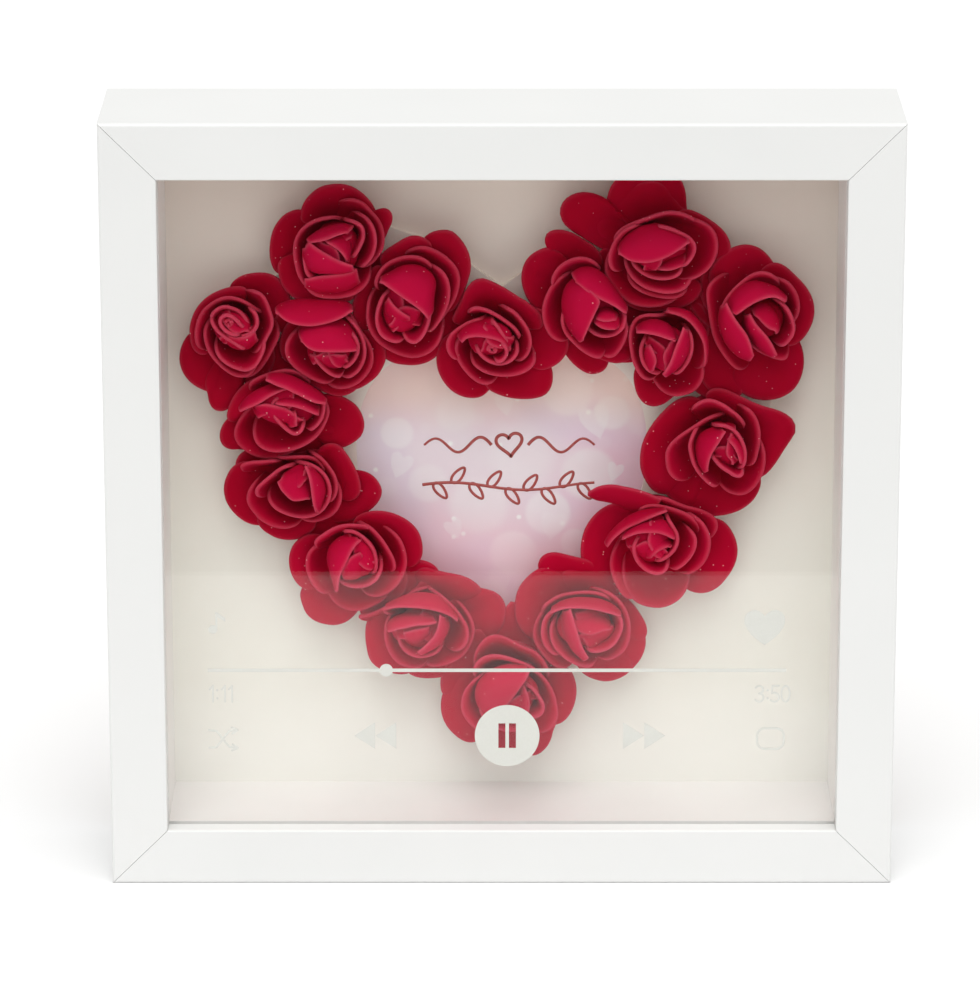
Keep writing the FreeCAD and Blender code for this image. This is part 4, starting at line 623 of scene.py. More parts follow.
        ("C", 11, [(11.3, 4.0), (12.1, 0.3), (12.1, -3.6), (11.6, -6.2), (10.5, -8.5), (8.9, -10.6), (6.8, -12.1), (4.2, -12.3), (1.6, -11.5), (-1.0, -9.8)]),
        ("C", 14.5, [(-5.7, 8.1), (-7.2, 5.0), (-7.9, 2.2), (-7.6, -0.2), (-6.8, -3.0), (-5.4, -5.5), (-3.6, -7.7), (-1.6, -9.7), (0.6, -11.6)]),
        ("F", (11, 18), [(1.5, 6.5), (0.1, 4.3), (-1.1, 2.3), (-2.1, 0.4), (-2.7, -1.7), (-2.9, -3.8)],
         [(0.7, 6.3), (-2.2, 5.7), (-4.6, 4.4), (-5.9, 2.1), (-5.9, -0.8), (-5.1, -3.4), (-3.8, -5.4)]),
        ("C", 16.3, [(-2.6, 7.8), (-0.2, 8.3), (2.4, 7.6), (4.5, 6.1), (6.0, 3.7), (6.8, 1.2), (6.8, -1.4), (6.0, -3.8), (4.5, -5.6)]),
        ("C", 16.8, [(-2.9, 1.0), (-1.3, -1.3), (0.3, -3.1), (2.4, -4.5), (4.4, -5.7), (6.0, -5.4), (7.1, -3.4)]),
        ("F", (13, 17.3), [(1.8, 4.3), (3.4, 2.5), (4.4, 0.4), (5.1, -1.9)],
         [(3.5, 4.8), (5.6, 2.9), (6.7, 0.3), (6.7, -2.5)]),
    ],
    14: [
        ("L", 7, [(-13.7, 8.2), (-12.1, 11.9), (-10.2, 14.5), (-7.3, 16.6), (-3.9, 17.5), (-0.5, 16.8), (1.9, 15.0), (3.7, 12.4), (5.1, 9.5)]),
        ("L", 8, [(-0.0, 11.6), (3.1, 13.1), (6.0, 12.4), (8.9, 9.9), (11.3, 7.4), (13.2, 4.3), (13.9, 0.9), (13.4, -2.2), (12.1, -5.1), (10.5, -7.4), (7.9, -9.8)]),
        ("L", 6, [(9.3, -5.6), (10.6, -8.3), (11.4, -11.1), (11.6, -14.3), (10.9, -17.7), (9.3, -20.5), (6.7, -22.4), (3.3, -23.4), (-0.4, -23.2), (-3.9, -21.8), (-7.3, -19.8)]),
        ("C", 10.5, [(-9.6, 13.3), (-12.5, 10.7), (-13.8, 7.3), (-13.4, 3.4), (-12.8, -0.7), (-11.7, -5.7), (-9.9, -9.1), (-7.8, -12.5), (-5.7, -15.6), (-3.3, -18.4)]),
        ("C", 13.3, [(-11.3, -2.3), (-10.7, 0.8), (-10.0, 3.4), (-8.7, 5.8), (-7.1, 7.8), (-5.0, 9.8), (-2.9, 11.5), (-0.8, 12.5), (1.8, 12.6), (4.4, 11.5), (6.8, 9.4)]),
        ("C", 12.5, [(4.5, 12.3), (7.4, 9.7), (9.4, 6.6), (10.2, 3.2), (9.7, 0.1), (7.9, -3.0)]),
        ("C", 12.5, [(-3.9, -5.9), (-1.6, -8.0), (1.3, -9.7), (3.9, -10.7), (6.8, -11.0), (9.4, -9.5)]),
        ("C", 15.3, [(2.7, 6.6), (5.3, 5.3), (7.2, 3.2), (8.5, 0.3), (8.9, -2.5), (7.8, -5.1), (6.0, -7.1), (3.3, -7.3)]),
        ("F", (12, 17.3), [(-2.6, 2.4), (-0.8, -0.5), (1.3, -2.9), (2.9, -5.2), (4.4, -8.4)],
         [(-4.0, 1.5), (-4.0, -1.9), (-2.2, -5.3), (0.2, -8.0), (3.1, -9.9)]),
        ("F", (11, 17.8), [(-8.6, 5.4), (-7.2, 2.7), (-5.4, -0.1), (-3.5, -2.7), (-2.4, -5.3), (-1.6, -8.3)],
         [(-9.7, 3.2), (-10.4, -0.2), (-9.7, -4.1), (-7.9, -7.5), (-5.3, -10.1), (-2.4, -11.1)]),
        ("F", (12, 18.5), [(-6.1, 2.3), (-3.3, 4.6), (-0.6, 6.1), (2.0, 6.9), (4.1, 6.8), (6.2, 5.6)],
         [(-8.2, 2.9), (-7.4, 6.0), (-5.1, 8.5), (-1.7, 9.8), (1.7, 9.1), (4.4, 7.8), (6.7, 5.5)]),
        ("F", (12.8, 16.4), [(-1.4, 1.7), (-0.0, 0.2), (1.3, -1.1), (2.5, -1.9), (3.5, -2.2), (3.8, -3.3)],
         [(-2.3, 2.5), (-1.0, 3.9), (1.3, 4.2), (3.5, 2.5), (4.7, 0.1), (4.9, -2.5)]),
        ("Q", 5, [(-4.2, -23.3), (-8.8, -23.3), (-13.0, -20.6), (-15.3, -15.8), (-15.9, -10.5), (-15.4, -5.2), (-15.0, -0.5), (-13.5, 4.0), (-11.0, 6.9)]),
        ("Q", 5, [(-10.6, -2.1), (-13.7, 1.1), (-15.0, 4.8), (-14.8, 9.0), (-12.8, 12.1), (-9.8, 13.7)]),
        ("Q", 4.5, [(-5.5, -21.8), (-8.8, -23.9), (-12.4, -23.4), (-16.0, -21.3), (-18.1, -18.1), (-17.6, -14.4)]),
        ("Q", 5, [(-11.6, -5.2), (-15.2, -2.1), (-17.8, 1.6), (-18.4, 5.8), (-17.4, 10.0), (-14.9, 12.6), (-11.8, 13.7)]),
    ],
    15: [
        ("L", 7, [(-6.7, -4.4), (-8.1, -8.3), (-7.9, -11.7), (-7.0, -14.3), (-5.4, -16.2), (-3.3, -16.9), (-0.6, -16.2), (1.7, -14.5), (4.4, -12.7)]),
        ("L", 8, [(-8.3, 5.1), (-10.9, 3.5), (-12.8, 0.9), (-13.3, -2.2), (-12.8, -4.5), (-10.4, -5.0), (-7.8, -4.8)]),
        ("C", 10.5, [(-5.2, -8.6), (-3.1, -10.6), (-1.3, -12.2), (1.3, -13.3), (4.2, -13.2), (6.9, -12.2), (8.7, -10.1), (9.9, -7.3), (10.3, -3.9)]),
        ("C", 13, [(0.5, 9.4), (-2.7, 9.2), (-5.6, 9.1), (-8.2, 8.0), (-9.5, 5.9), (-9.9, 3.1), (-9.6, -0.0), (-9.0, -3.2), (-7.9, -5.8), (-6.5, -8.0), (-4.5, -9.4), (-2.2, -9.7)]),
        ("C", 12, [(-2.1, 9.3), (1.3, 10.5), (4.4, 10.0), (7.1, 8.1), (8.9, 5.4), (10.0, 2.0), (10.3, -1.6), (10.0, -5.0), (8.9, -8.4)]),
        ("F", (12, 14.5), [(-0.6, 9.7), (2.8, 8.9), (5.4, 7.3), (7.2, 5.1), (8.8, 2.1), (9.3, -1.4), (9.1, -4.8)],
         [(-0.3, 10.2), (2.6, 10.3), (5.5, 9.3), (7.8, 6.9), (9.7, 3.8), (10.2, 0.2), (9.9, -3.5)]),
        ("C", 15, [(-5.4, 4.7), (-6.8, 2.1), (-7.2, -0.2), (-6.8, -2.6), (-5.9, -4.4), (-4.6, -5.8), (-2.7, -6.7), (-0.6, -7.0)]),
        ("C", 15, [(5.1, 6.8), (6.2, 3.6), (6.4, 0.3), (5.4, -3.1), (3.3, -6.0), (0.4, -7.5)]),
        ("F", (12, 17), [(-4.5, 2.1), (-3.3, -0.2), (-2.8, -2.5), (-3.6, -4.6)],
         [(-5.5, 1.0), (-6.2, -1.9), (-5.6, -4.2), (-4.4, -5.8)]),
        ("F", (12, 18.5), [(-8.1, 5.7), (-5.2, 5.3), (-2.6, 4.8), (-0.4, 3.9), (1.8, 3.4)],
         [(-8.0, 5.3), (-6.1, 6.9), (-3.5, 7.5), (-0.6, 6.7), (1.5, 4.7), (2.3, 2.7)]),
        ("F", (12, 18.2), [(3.7, 6.9), (2.6, 4.0), (1.5, 1.1), (0.4, -2.3), (-1.4, -5.3)],
         [(4.9, 5.2), (5.7, 1.9), (5.1, -1.8), (2.8, -4.9), (-0.5, -7.2)]),
        ("Q", 5, [(-14.0, -2.5), (-13.8, 2.0), (-12.5, 6.5), (-9.8, 9.9), (-5.5, 11.5), (-0.4, 11.8), (4.7, 11.5), (8.8, 9.9), (10.6, 5.7), (11.2, 1.0)]),
    ],
    16: [
        ("L", 5, [(-13.9, 7.3), (-12.8, 11.5), (-11.5, 15.9), (-8.6, 18.8), (-3.3, 20.1), (2.0, 19.9), (5.4, 18.3), (7.0, 14.6), (7.5, 10.4), (8.8, 7.0)]),
        ("L", 6, [(-10.7, 9.1), (-12.8, 12.3), (-14.7, 13.6), (-17.1, 14.4), (-19.7, 14.4), (-22.3, 13.3), (-23.9, 11.5), (-24.4, 9.1), (-23.6, 6.8), (-21.8, 4.9), (-18.9, 2.9), (-15.5, 0.8), (-12.6, -1.6)]),
        ("L", 7, [(4.5, 9.4), (7.4, 10.3), (10.6, 9.2), (13.2, 7.7), (15.9, 5.6), (17.7, 3.4), (18.6, 0.8), (18.5, -2.1), (16.9, -4.7)]),
        ("L", 8, [(-13.9, -3.4), (-12.9, -7.1), (-11.3, -9.9), (-9.2, -12.5), (-6.6, -14.6), (-2.9, -15.9), (1.3, -15.9), (5.6, -15.2), (9.8, -13.3), (12.9, -10.5)]),
        ("C", 13, [(-13.0, 2.3), (-10.9, 5.7), (-8.5, 7.5), (-5.9, 8.7), (-3.0, 9.9), (-0.1, 11.0), (2.7, 11.6), (5.6, 11.4), (9.0, 10.4), (12.2, 8.6)]),
        ("C", 12.3, [(7.5, 11.0), (10.9, 9.4), (13.5, 7.5), (15.0, 5.0), (15.4, 1.9), (14.8, -1.0), (13.3, -3.6), (10.9, -5.7), (8.0, -7.2), (4.6, -8.3)]),
        ("C", 10.5, [(-11.9, 3.0), (-13.3, -0.4), (-13.6, -3.5), (-12.9, -6.4), (-11.6, -8.6), (-9.8, -10.8), (-7.4, -12.9), (-4.8, -13.9), (-1.1, -14.3), (2.6, -13.8), (6.0, -12.8), (9.1, -10.8)]),
        ("C", 13.8, [(-4.1, 9.3), (-7.0, 8.1), (-9.3, 6.3), (-10.9, 4.1), (-12.0, 1.8), (-12.5, -0.8), (-12.2, -3.4), (-10.9, -6.3)]),
        ("C", 12, [(-9.3, -5.5), (-6.7, -8.3), (-3.3, -10.4), (0.2, -11.5), (3.6, -11.7), (7.0, -11.1), (10.1, -9.4)]),
        ("C", 13.5, [(-9.9, 0.4), (-8.3, -3.3), (-6.7, -5.7), (-4.9, -7.4), (-2.5, -8.8), (0.4, -9.6), (3.5, -9.8), (6.7, -9.1), (9.0, -7.5), (11.6, -5.3)]),
        ("C", 15, [(-8.1, -0.0), (-6.0, -2.6), (-4.1, -4.3), (-1.8, -5.5), (1.1, -6.0), (4.0, -5.6), (6.1, -4.3), (7.6, -2.1)]),
        ("C", 16, [(-1.5, 9.1), (1.9, 8.4), (5.0, 7.3), (7.9, 5.8), (9.4, 4.1), (9.7, 2.1), (8.9, 0.0), (7.3, -2.1), (4.7, -3.4)]),
        ("F", (11, 16), [(0.0, -3.1), (3.2, -3.2), (6.6, -2.1)],
         [(1.4, -1.6), (4.3, -0.1), (7.5, 0.4)]),
        ("F", (12, 18.7), [(-10.0, 1.7), (-7.4, 0.1), (-4.5, -0.5), (-1.1, -0.3), (2.0, 0.8), (4.9, 2.5), (8.0, 4.7)],
         [(-9.9, 1.6), (-8.6, 4.1), (-6.2, 6.3), (-2.8, 7.9), (0.9, 8.0), (4.8, 6.6), (7.7, 4.5)]),
    ],
    17: [
        ("L", 6.5, [(-5.5, 10.5), (-8.2, 13.4), (-9.6, 15.5), (-9.5, 17.4), (-7.9, 18.5), (-5.5, 18.6), (-2.9, 17.8), (-0.2, 16.0), (2.7, 13.9), (5.3, 11.3)]),
        ("L", 7, [(-5.5, 13.0), (-8.9, 14.2), (-11.8, 13.1), (-14.0, 11.3), (-15.3, 8.9), (-15.7, 5.9), (-15.1, 3.1), (-14.0, 0.5), (-12.4, -1.6), (-10.0, -4.0)]),
        ("L", 6, [(-7.4, -9.5), (-5.0, -13.1), (-3.1, -15.8), (-0.8, -18.0), (1.6, -19.2), (4.0, -18.9), (5.7, -17.6), (6.6, -15.2), (8.5, -12.9)]),
        ("L", 8, [(2.9, -14.1), (6.0, -15.3), (8.9, -15.6), (11.6, -14.9), (13.2, -12.6)]),
        ("C", 12.7, [(5.4, 10.6), (2.8, 12.5), (0.2, 13.4), (-2.4, 13.3), (-5.1, 12.1), (-7.2, 10.2), (-8.7, 7.7), (-9.5, 4.6)]),
        ("C", 11.7, [(-3.5, 10.8), (-6.4, 8.2), (-8.5, 5.6), (-9.8, 3.0), (-10.6, 0.2), (-10.6, -2.7), (-9.9, -5.5), (-8.5, -8.1), (-6.4, -10.0), (-3.7, -11.5)]),
        ("C", 13.3, [(-5.6, 0.4), (-6.0, -3.3), (-5.1, -6.4), (-3.2, -8.7), (-0.9, -10.9), (1.7, -12.6), (4.6, -13.8), (7.5, -13.4)]),
        ("C", 13, [(4.4, -14.5), (7.8, -13.0), (9.9, -10.1), (11.2, -6.7), (11.7, -2.8)]),
        ("C", 15.5, [(0.1, -3.2), (1.4, -5.3), (3.0, -6.4), (5.1, -7.1), (7.5, -6.8), (9.3, -5.6), (10.5, -3.7), (11.0, -1.4), (10.3, 1.0)]),
        ("F", (13.4, 16.9), [(2.7, -3.1), (4.1, -4.1), (5.9, -4.7), (7.8, -4.5)],
         [(2.6, -2.3), (3.7, -0.4), (5.6, 0.4), (7.7, -0.4), (8.9, -2.3), (8.9, -4.1)]),
        ("F", (11, 18.3), [(0.3, 7.2), (2.7, 5.0), (4.0, 3.2), (2.9, 0.3), (1.8, -2.1), (-0.3, -7.1)],
         [(-1.7, 8.2), (-4.6, 5.6), (-5.7, 1.5), (-5.1, -2.7), (-3.5, -6.1), (-1.1, -8.7)]),
        ("F", (12, 18), [(-2.0, 7.9), (1.4, 5.1), (4.5, 3.3), (7.5, 1.7), (10.5, -0.4)],
         [(-3.3, 8.9), (-0.6, 10.6), (3.0, 10.2), (5.9, 7.6), (8.5, 4.0), (10.9, 0.1)]),
        ("F", (14.6, 17.5), [(3.1, -1.8), (4.5, -2.3), (6.0, -2.4), (7.8, -2.0)],
         [(2.9, -1.7), (4.0, -0.4), (5.7, 0.1), (7.5, -0.5), (8.3, -1.7)]),
        ("Q", 5, [(-1.3, 6.2), (1.2, 9.8), (4.0, 12.5), (5.7, 14.3), (7.3, 13.0), (7.8, 9.8), (7.3, 5.6)]),
    ],
}
THICK = 1.0                     # foam sheet, mm
NU, NV = 37, 18


def curve(points, n_at):
    """Smooth line through given points (centripetal spline), sampled at the arc fractions n_at."""
    p = np.array(points, float)
    p = np.concatenate([[2 * p[0] - p[1]], p, [2 * p[-1] - p[-2]]])
    out = []
    for k in range(1, len(p) - 2):
        p0, p1, p2, p3 = p[k - 1], p[k], p[k + 1], p[k + 2]
        t = [0.0]
        for a, b in ((p0, p1), (p1, p2), (p2, p3)):
            t.append(t[-1] + max(np.linalg.norm(b - a), 1e-3) ** 0.5)
        for s in np.linspace(t[1], t[2], 9)[:-1]:
            a1 = (t[1] - s) / (t[1] - t[0]) * p0 + (s - t[0]) / (t[1] - t[0]) * p1
            a2 = (t[2] - s) / (t[2] - t[1]) * p1 + (s - t[1]) / (t[2] - t[1]) * p2
            a3 = (t[3] - s) / (t[3] - t[2]) * p2 + (s - t[2]) / (t[3] - t[2]) * p3
            b1 = (t[2] - s) / (t[2] - t[0]) * a1 + (s - t[0]) / (t[2] - t[0]) * a2
            b2 = (t[3] - s) / (t[3] - t[1]) * a2 + (s - t[1]) / (t[3] - t[1]) * a3
            out.append((t[2] - s) / (t[2] - t[1]) * b1 + (s - t[1]) / (t[2] - t[1]) * b2)
    out.append(p[-2])
    q = np.array(out)
    # takes the last corners off the given line
    for _ in range(3):
        q[1:-1] = 0.25 * q[:-2] + 0.5 * q[1:-1] + 0.25 * q[2:]
    d = np.concatenate([[0], np.cumsum(np.linalg.norm(np.diff(q, axis=0), axis=1))])
    return np.stack([np.interp(np.array(n_at) * d[-1], d, q[:, c]) for c in (0, 1)], -1)


def bezier(pts, v):
    """Cubic section line; v runs evenly along its length."""
    t = np.linspace(0, 1, 200)
    c = [(1 - t) ** 3, 3 * t * (1 - t) ** 2, 3 * t * t * (1 - t), t ** 3]
    x = sum(w * p[0] for w, p in zip(c, pts))
    y = sum(w * p[1] for w, p in zip(c, pts))
    d = np.concatenate([[0], np.cumsum(np.hypot(np.diff(x), np.diff(y)))])
    d /= d[-1]
    return np.interp(v, d, x), np.interp(v, d, y)


def sheet(P, thick=THICK):
    """Closed thin shell with rounded edges round the mid surface P (rows from root to free edge)."""
    nv, nu = P.shape[:2]
    du, dv = np.gradient(P, axis=1), np.gradient(P, axis=0)
    nrm = np.cross(du, dv)
    ln = np.linalg.norm(nrm, axis=-1, keepdims=True)
    nrm /= np.maximum(ln, 1e-9)
    sv = np.concatenate([np.zeros((1, nu)), np.cumsum(np.linalg.norm(np.diff(P, axis=0), axis=-1), 0)])
    su = np.concatenate([np.zeros((nv, 1)), np.cumsum(np.linalg.norm(np.diff(P, axis=1), axis=-1), 1)], 1)
    e_tip, e_side = sv[-1] - sv, np.minimum(su, su[:, -1:] - su)
    free = np.minimum(e_tip, e_side)
    e = np.minimum(free, sv + 1e-6)
    e0 = thick / 2
    half = e0 * np.sqrt(np.clip(1 - (1 - np.clip(e / e0, 0, 1)) ** 2, 0, 1))
    top, low = P + nrm * half[..., None], P - nrm * half[..., None]
    rim = np.exp(-(free / 0.60) ** 2)
    N = nu * nv
    idx = np.arange(N).reshape(nv, nu)
    inner = np.zeros((nv, nu), bool)
    inner[1:-1, 1:-1] = True
    idl = idx.copy()
    idl[inner] = N + np.arange(inner.sum())
    verts = np.concatenate([top.reshape(-1, 3), low[inner]])
    rims = np.concatenate([rim.reshape(-1), rim[inner]])
    q1 = np.stack([idx[:-1, :-1], idx[:-1, 1:], idx[1:, 1:], idx[1:, :-1]], -1).reshape(-1, 4)
    q2 = np.stack([idl[:-1, :-1], idl[1:, :-1], idl[1:, 1:], idl[:-1, 1:]], -1).reshape(-1, 4)
    return verts, np.concatenate([q1, q2]), rims


S_U = np.sin(np.linspace(-1, 1, NU) * math.pi / 2)
S_V = 1 - (1 - np.linspace(0, 1, NV)) ** 1.8


def soft_noise(rng, U, V, amp):
    ph = rng.uniform(0, 2 * math.pi, 4)
    return amp * (np.sin(2.3 * U + 2.1 * V + ph[0]) + 0.6 * np.sin(4.6 * U - 2.4 * V + ph[1])
                  + 0.35 * np.sin(8.0 * U + 3.0 * V + ph[2]) * V)


def cup_petal(kind, h, rim, bud, seed):
    """A petal from the foot of the rose out to its free edge: cupped (C) or low and spread (L)."""
    rng = np.random.default_rng(seed)
    R = curve(rim, (S_U + 1) / 2)
    lean = lambda z: np.array(bud) * min(z / 16.0, 1.0)
    hf = 0.8 if kind != "C" else max(0.8, 0.30 * h)
    d = R - lean(h)
    ln = np.maximum(np.linalg.norm(d, axis=1, keepdims=True), 0.5)
    foot = lean(hf) + d / ln * np.minimum(2.4, 0.4 * ln)
    U, V = np.meshgrid(S_U, S_V)
    corner = {"C": 0.58, "L": 0.86, "Q": 0.95}[kind]
    W = V * (corner + (1 - corner) * np.sqrt(np.clip(1 - np.abs(U) ** (5 if kind == "C" else 9), 0, 1)))
    if kind == "C":
        roll_out = rng.uniform(0.80, 0.90)
        p, q = bezier(((0, 0), (0.74, 0.0), (roll_out - 0.08, 1.02), (1.0, 1.0)), W)
    else:
        p, q = bezier(((0, 0), (0.30, 0.35), (0.70, 1.10), (1.0, 1.0)), W)
    hh = hf + (h - hf) * q
    if kind == "C":
        hh = hh - 2.6 * np.clip((np.abs(U) - 0.70) / 0.30, 0, 1) ** 2 * V
    if kind == "L":
        R = R + 0.20 * d / ln
        hh = hh - 1.3 * U ** 4 * V - 0.5 * np.clip((W - 0.82) / 0.18, 0, 1) ** 2
    hh = hh + soft_noise(rng, U, V, 0.30 if kind == "L" else 0.26) * V
    XZ = foot[None] * (1 - p[..., None]) + R[None] * p[..., None]
    side = soft_noise(rng, U, V, 0.16) * V * (1 - V) * 3
    XZ = XZ + (d / ln)[None] * side[..., None]
    return sheet(np.concatenate([XZ, hh[..., None]], -1))


def fold_petal(h0, h1, rim, root, seed):
    """A petal folded over the bud: from its root line up and across to its free edge."""
    rng = np.random.default_rng(seed)
    R, B = curve(rim, (S_U + 1) / 2), curve(root, (S_U + 1) / 2)
    if np.linalg.norm(R[0] - B[0]) + np.linalg.norm(R[-1] - B[-1]) > np.linalg.norm(R[0] - B[-1]) + np.linalg.norm(R[-1] - B[0]):
        B = B[::-1]
    U, V = np.meshgrid(S_U, S_V)
    p, q = bezier(((0, 0), (0.08, 0.56), (0.42, 0.93), (1.0, 1.0)), V)
    hh = h0 + (h1 - h0) * q + soft_noise(rng, U, V, 0.14) * V
    hh = hh - 0.9 * U ** 6 * V
    XZ = B[None] * (1 - p[..., None]) + R[None] * p[..., None]
    return sheet(np.concatenate([XZ, hh[..., None]], -1), 0.8)


def roll(seed, top, turns, r_in, r_out, start, sense, low=6.0, lean=0.0):
    """The rolled strip in the middle of the bud."""
    rng = np.random.default_rng(seed)
    n, m = int(30 * turns), 12
    s = np.linspace(0, 1, n)
    phi = math.radians(start) + sense * s * turns * 2 * math.pi
    r = r_in + (r_out - r_in) * s ** 0.85
    v = np.array([0.0, 0.35, 0.6, 0.78, 0.88, 0.94, 0.975, 1.0])
    m = len(v)
    PH, V = np.meshgrid(phi, v)
    R = np.meshgrid(r, v)[0]
    S = np.meshgrid(s, v)[0]
    topz = top - 0.5 * S + 0.7 * np.sin(3.1 * PH + rng.uniform(0, 6)) * 0.5
    Hh = low + (topz - low) * V
    R = R * (1.15 - 0.28 * V ** 2) + lean * V
    P = np.stack([R * np.cos(PH), R * np.sin(PH), Hh], -1)
    du, dv = np.gradient(P, axis=1), np.gradient(P, axis=0)
    nrm = np.cross(du, dv)
    nrm /= np.maximum(np.linalg.norm(nrm, axis=-1, keepdims=True), 1e-9)
    e_tip = (topz - low) * (1 - V)
    e_side = np.minimum(S, 1 - S) * turns * 2 * math.pi * r.mean()
    e = np.minimum(np.minimum(e_tip, e_side), (topz - low) * V + 1e-6)
    e0 = 0.38
    half = e0 * np.sqrt(np.clip(1 - (1 - np.clip(e / e0, 0, 1)) ** 2, 0, 1))
    top_s, low_s = P + nrm * half[..., None], P - nrm * half[..., None]
    rim = np.exp(-(np.minimum(e_tip, e_side) / 0.5) ** 2)
    N = n * m
    idx = np.arange(N).reshape(m, n)
    inner = np.zeros((m, n), bool)
    inner[1:-1, 1:-1] = True
    idl = idx.copy()
    idl[inner] = N + np.arange(inner.sum())
    verts = np.concatenate([top_s.reshape(-1, 3), low_s[inner]])
    rims = np.concatenate([rim.reshape(-1), rim[inner]])
    q1 = np.stack([idx[:-1, :-1], idx[:-1, 1:], idx[1:, 1:], idx[1:, :-1]], -1).reshape(-1, 4)
    q2 = np.stack([idl[:-1, :-1], idl[1:, :-1], idl[1:, 1:], idl[:-1, 1:]], -1).reshape(-1, 4)
    return verts, np.concatenate([q1, q2]), rims


def calyx():
    """The solid foot that the petals are glued round."""
    prof = [(0.0, 0.0), (3.6, 0.0), (4.1, 0.35), (4.2, 1.0), (3.7, 2.2), (3.2, 4.5), (2.9, 8.0), (2.2, 11.0), (0.0, 12.0)]
    n = 28
    verts, quads = [], []
    for r, h in prof:
        for i in range(n):
            a = 2 * math.pi * i / n
            verts.append((r * math.cos(a), r * math.sin(a), h))
    for j in range(len(prof) - 1):
        for i in range(n):
            k = (i + 1) % n
            quads.append((j * n + i, j * n + k, (j + 1) * n + k, (j + 1) * n + i))
    return np.array(verts), np.array(quads), np.zeros(len(verts))


def core(i):
    """The wound heart of the bud, under the folded petals: a closed dome with shallow turns."""
    cx, cz, rx, rz = BUD[i]
    prof = [(0.02, 13.9), (0.18, 13.85), (0.36, 13.5), (0.52, 12.8), (0.62, 11.9), (0.68, 10.9), (0.70, 9.4),
            (0.66, 7.0), (0.45, 3.0), (0.25, 1.0), (0.02, 0.9)]
    n = 48
    a = np.linspace(0, 2 * math.pi, n, endpoint=False)
    rings = []
    for f, h in prof:
        turn = 0.35 * np.cos(a * 2 + 14.0 * f + i) * min(f * 2.5, 1.0) * (h > 10)
        lean = min(h / 16.0, 1.0)
        rings.append(np.stack([cx * lean + rx * f * np.cos(a), cz * lean + rz * f * np.sin(a), h + turn], -1))
    P = np.concatenate(rings)
    q = []
    m = len(prof)
    for j in range(m - 1):
        for k in range(n):
            k2 = (k + 1) % n
            q.append((j * n + k, (j + 1) * n + k, (j + 1) * n + k2, j * n + k2))
    for j in (0, m - 1):
        c = len(P)
        P = np.concatenate([P, P[j * n:(j + 1) * n].mean(0, keepdims=True)])
        for k in range(0, n, 2):
            k1, k2 = (k + 1) % n, (k + 2) % n
            ring = (j * n + k, j * n + k1, j * n + k2, c)
            q.append(ring if j == 0 else ring[::-1])
    return P, np.array(q), np.zeros(len(P))


def wound(i):
    """Three small petals laid round each other over the core, each with its free edge near the middle."""
    cx, cz, rx, rz = BUD[i]
    rng = np.random.default_rng(700 + i)
    a0 = rng.uniform(0, 2 * math.pi)
    out = []
    for k in range(3):
        a = a0 + 2.15 * k + rng.uniform(-0.25, 0.25)
        e, f = rng.uniform(0.00, 0.16), rng.uniform(-0.12, 0.12)
        edge = [(0.235, -0.745), (0.10 - f, -0.52), (-e, -0.25), (-e - 0.04, 0.02), (-e + 0.03, 0.27), (0.10 + f, 0.52),
                (0.235, 0.745)]
        ca, sa = math.cos(a), math.sin(a)
        fit = 1.0 - 0.09 * k
        rim = [(cx + fit * rx * (u * ca - w * sa), cz + fit * rz * (u * sa + w * ca)) for u, w in edge]
        root = [(cx + 0.80 * fit * rx * math.cos(a + s), cz + 0.80 * fit * rz * math.sin(a + s))
                for s in np.linspace(-1.25, 1.25, 9)]
        out.append(fold_petal(10.6 + 0.9 * k, 14.7 + 0.80 * k, rim, root, 7000 + 10 * i + k))
    return out


def skirt(i):
    """Low inner petals that close the ring round the foot, kept inside the outer ones."""
    ang, rad = [], []
    for p in PETALS[i]:
        if p[0] in "LC" and p[1] < 13:
            c = curve(p[2], np.linspace(0, 1, 60))
            ang.append(np.degrees(np.arctan2(c[:, 1], c[:, 0])) % 360)
            rad.append(np.hypot(c[:, 0], c[:, 1]))
    ang, rad = np.concatenate(ang), np.concatenate(rad)
    grid = np.arange(0, 360, 6)
    reach = []
    for a in grid:
        near = np.abs((ang - a + 180) % 360 - 180) < 5
        reach.append(rad[near].max() if near.any() else 9.0)
    reach = np.array(reach)
    reach = np.minimum(reach, np.minimum(np.roll(reach, 2), np.roll(reach, -2)))
    out = []
    for k, a0 in enumerate((20 + 37 * i, 140 + 37 * i, 260 + 37 * i)):
        aa = np.linspace(a0 - 74, a0 + 74, 11)
        rr = np.interp(aa % 360, grid, reach, period=360) * 0.86
        rim = [(r * math.cos(math.radians(a)), r * math.sin(math.radians(a))) for a, r in zip(aa, rr)]
        out.append(cup_petal("L", 4.2 + 0.5 * k, rim, (0.0, 0.0), 9000 + 10 * i + k))
    return out


def rose_parts(i):
    """All petals of rose i in its own axes: right, up, out; mm."""
    # the buds of roses 14 and 17 are drawn with the other petals
    out = [calyx(), core(i)] + ([] if i in (14, 17) else wound(i)) + skirt(i)
    for j, p in enumerate(PETALS[i]):
        seed = 100 * i + j
        if p[0] == "R":
            v, q, r = roll(seed, p[1], 1.7, 0.35, p[3], 60 + 50 * i, 1 if i % 2 else -1, low=9.0)
            v = v + np.array([p[2][0], p[2][1], 0.0])
            out.append((v, q, r))
        elif p[0] == "F":
            out.append(fold_petal(p[1][0], p[1][1], p[2], p[3], seed))
        else:
            out.append(cup_petal(p[0], p[1], p[2], BUD[i][:2], seed))
    return out


def settle(i, P):
    """The points in the frame's axes, metres."""
    X, Z, R, H = ROSES[i - 1]
    h = np.clip(P[:, 2], 0.0, 26.4)
    xw = np.clip(X + P[:, 0], -85.3, 85.3)
    zw = np.clip(Z + P[:, 1], 14.7, 185.3)
    return np.stack([xw * MM, (BASE_Y - h) * MM, zw * MM], -1)


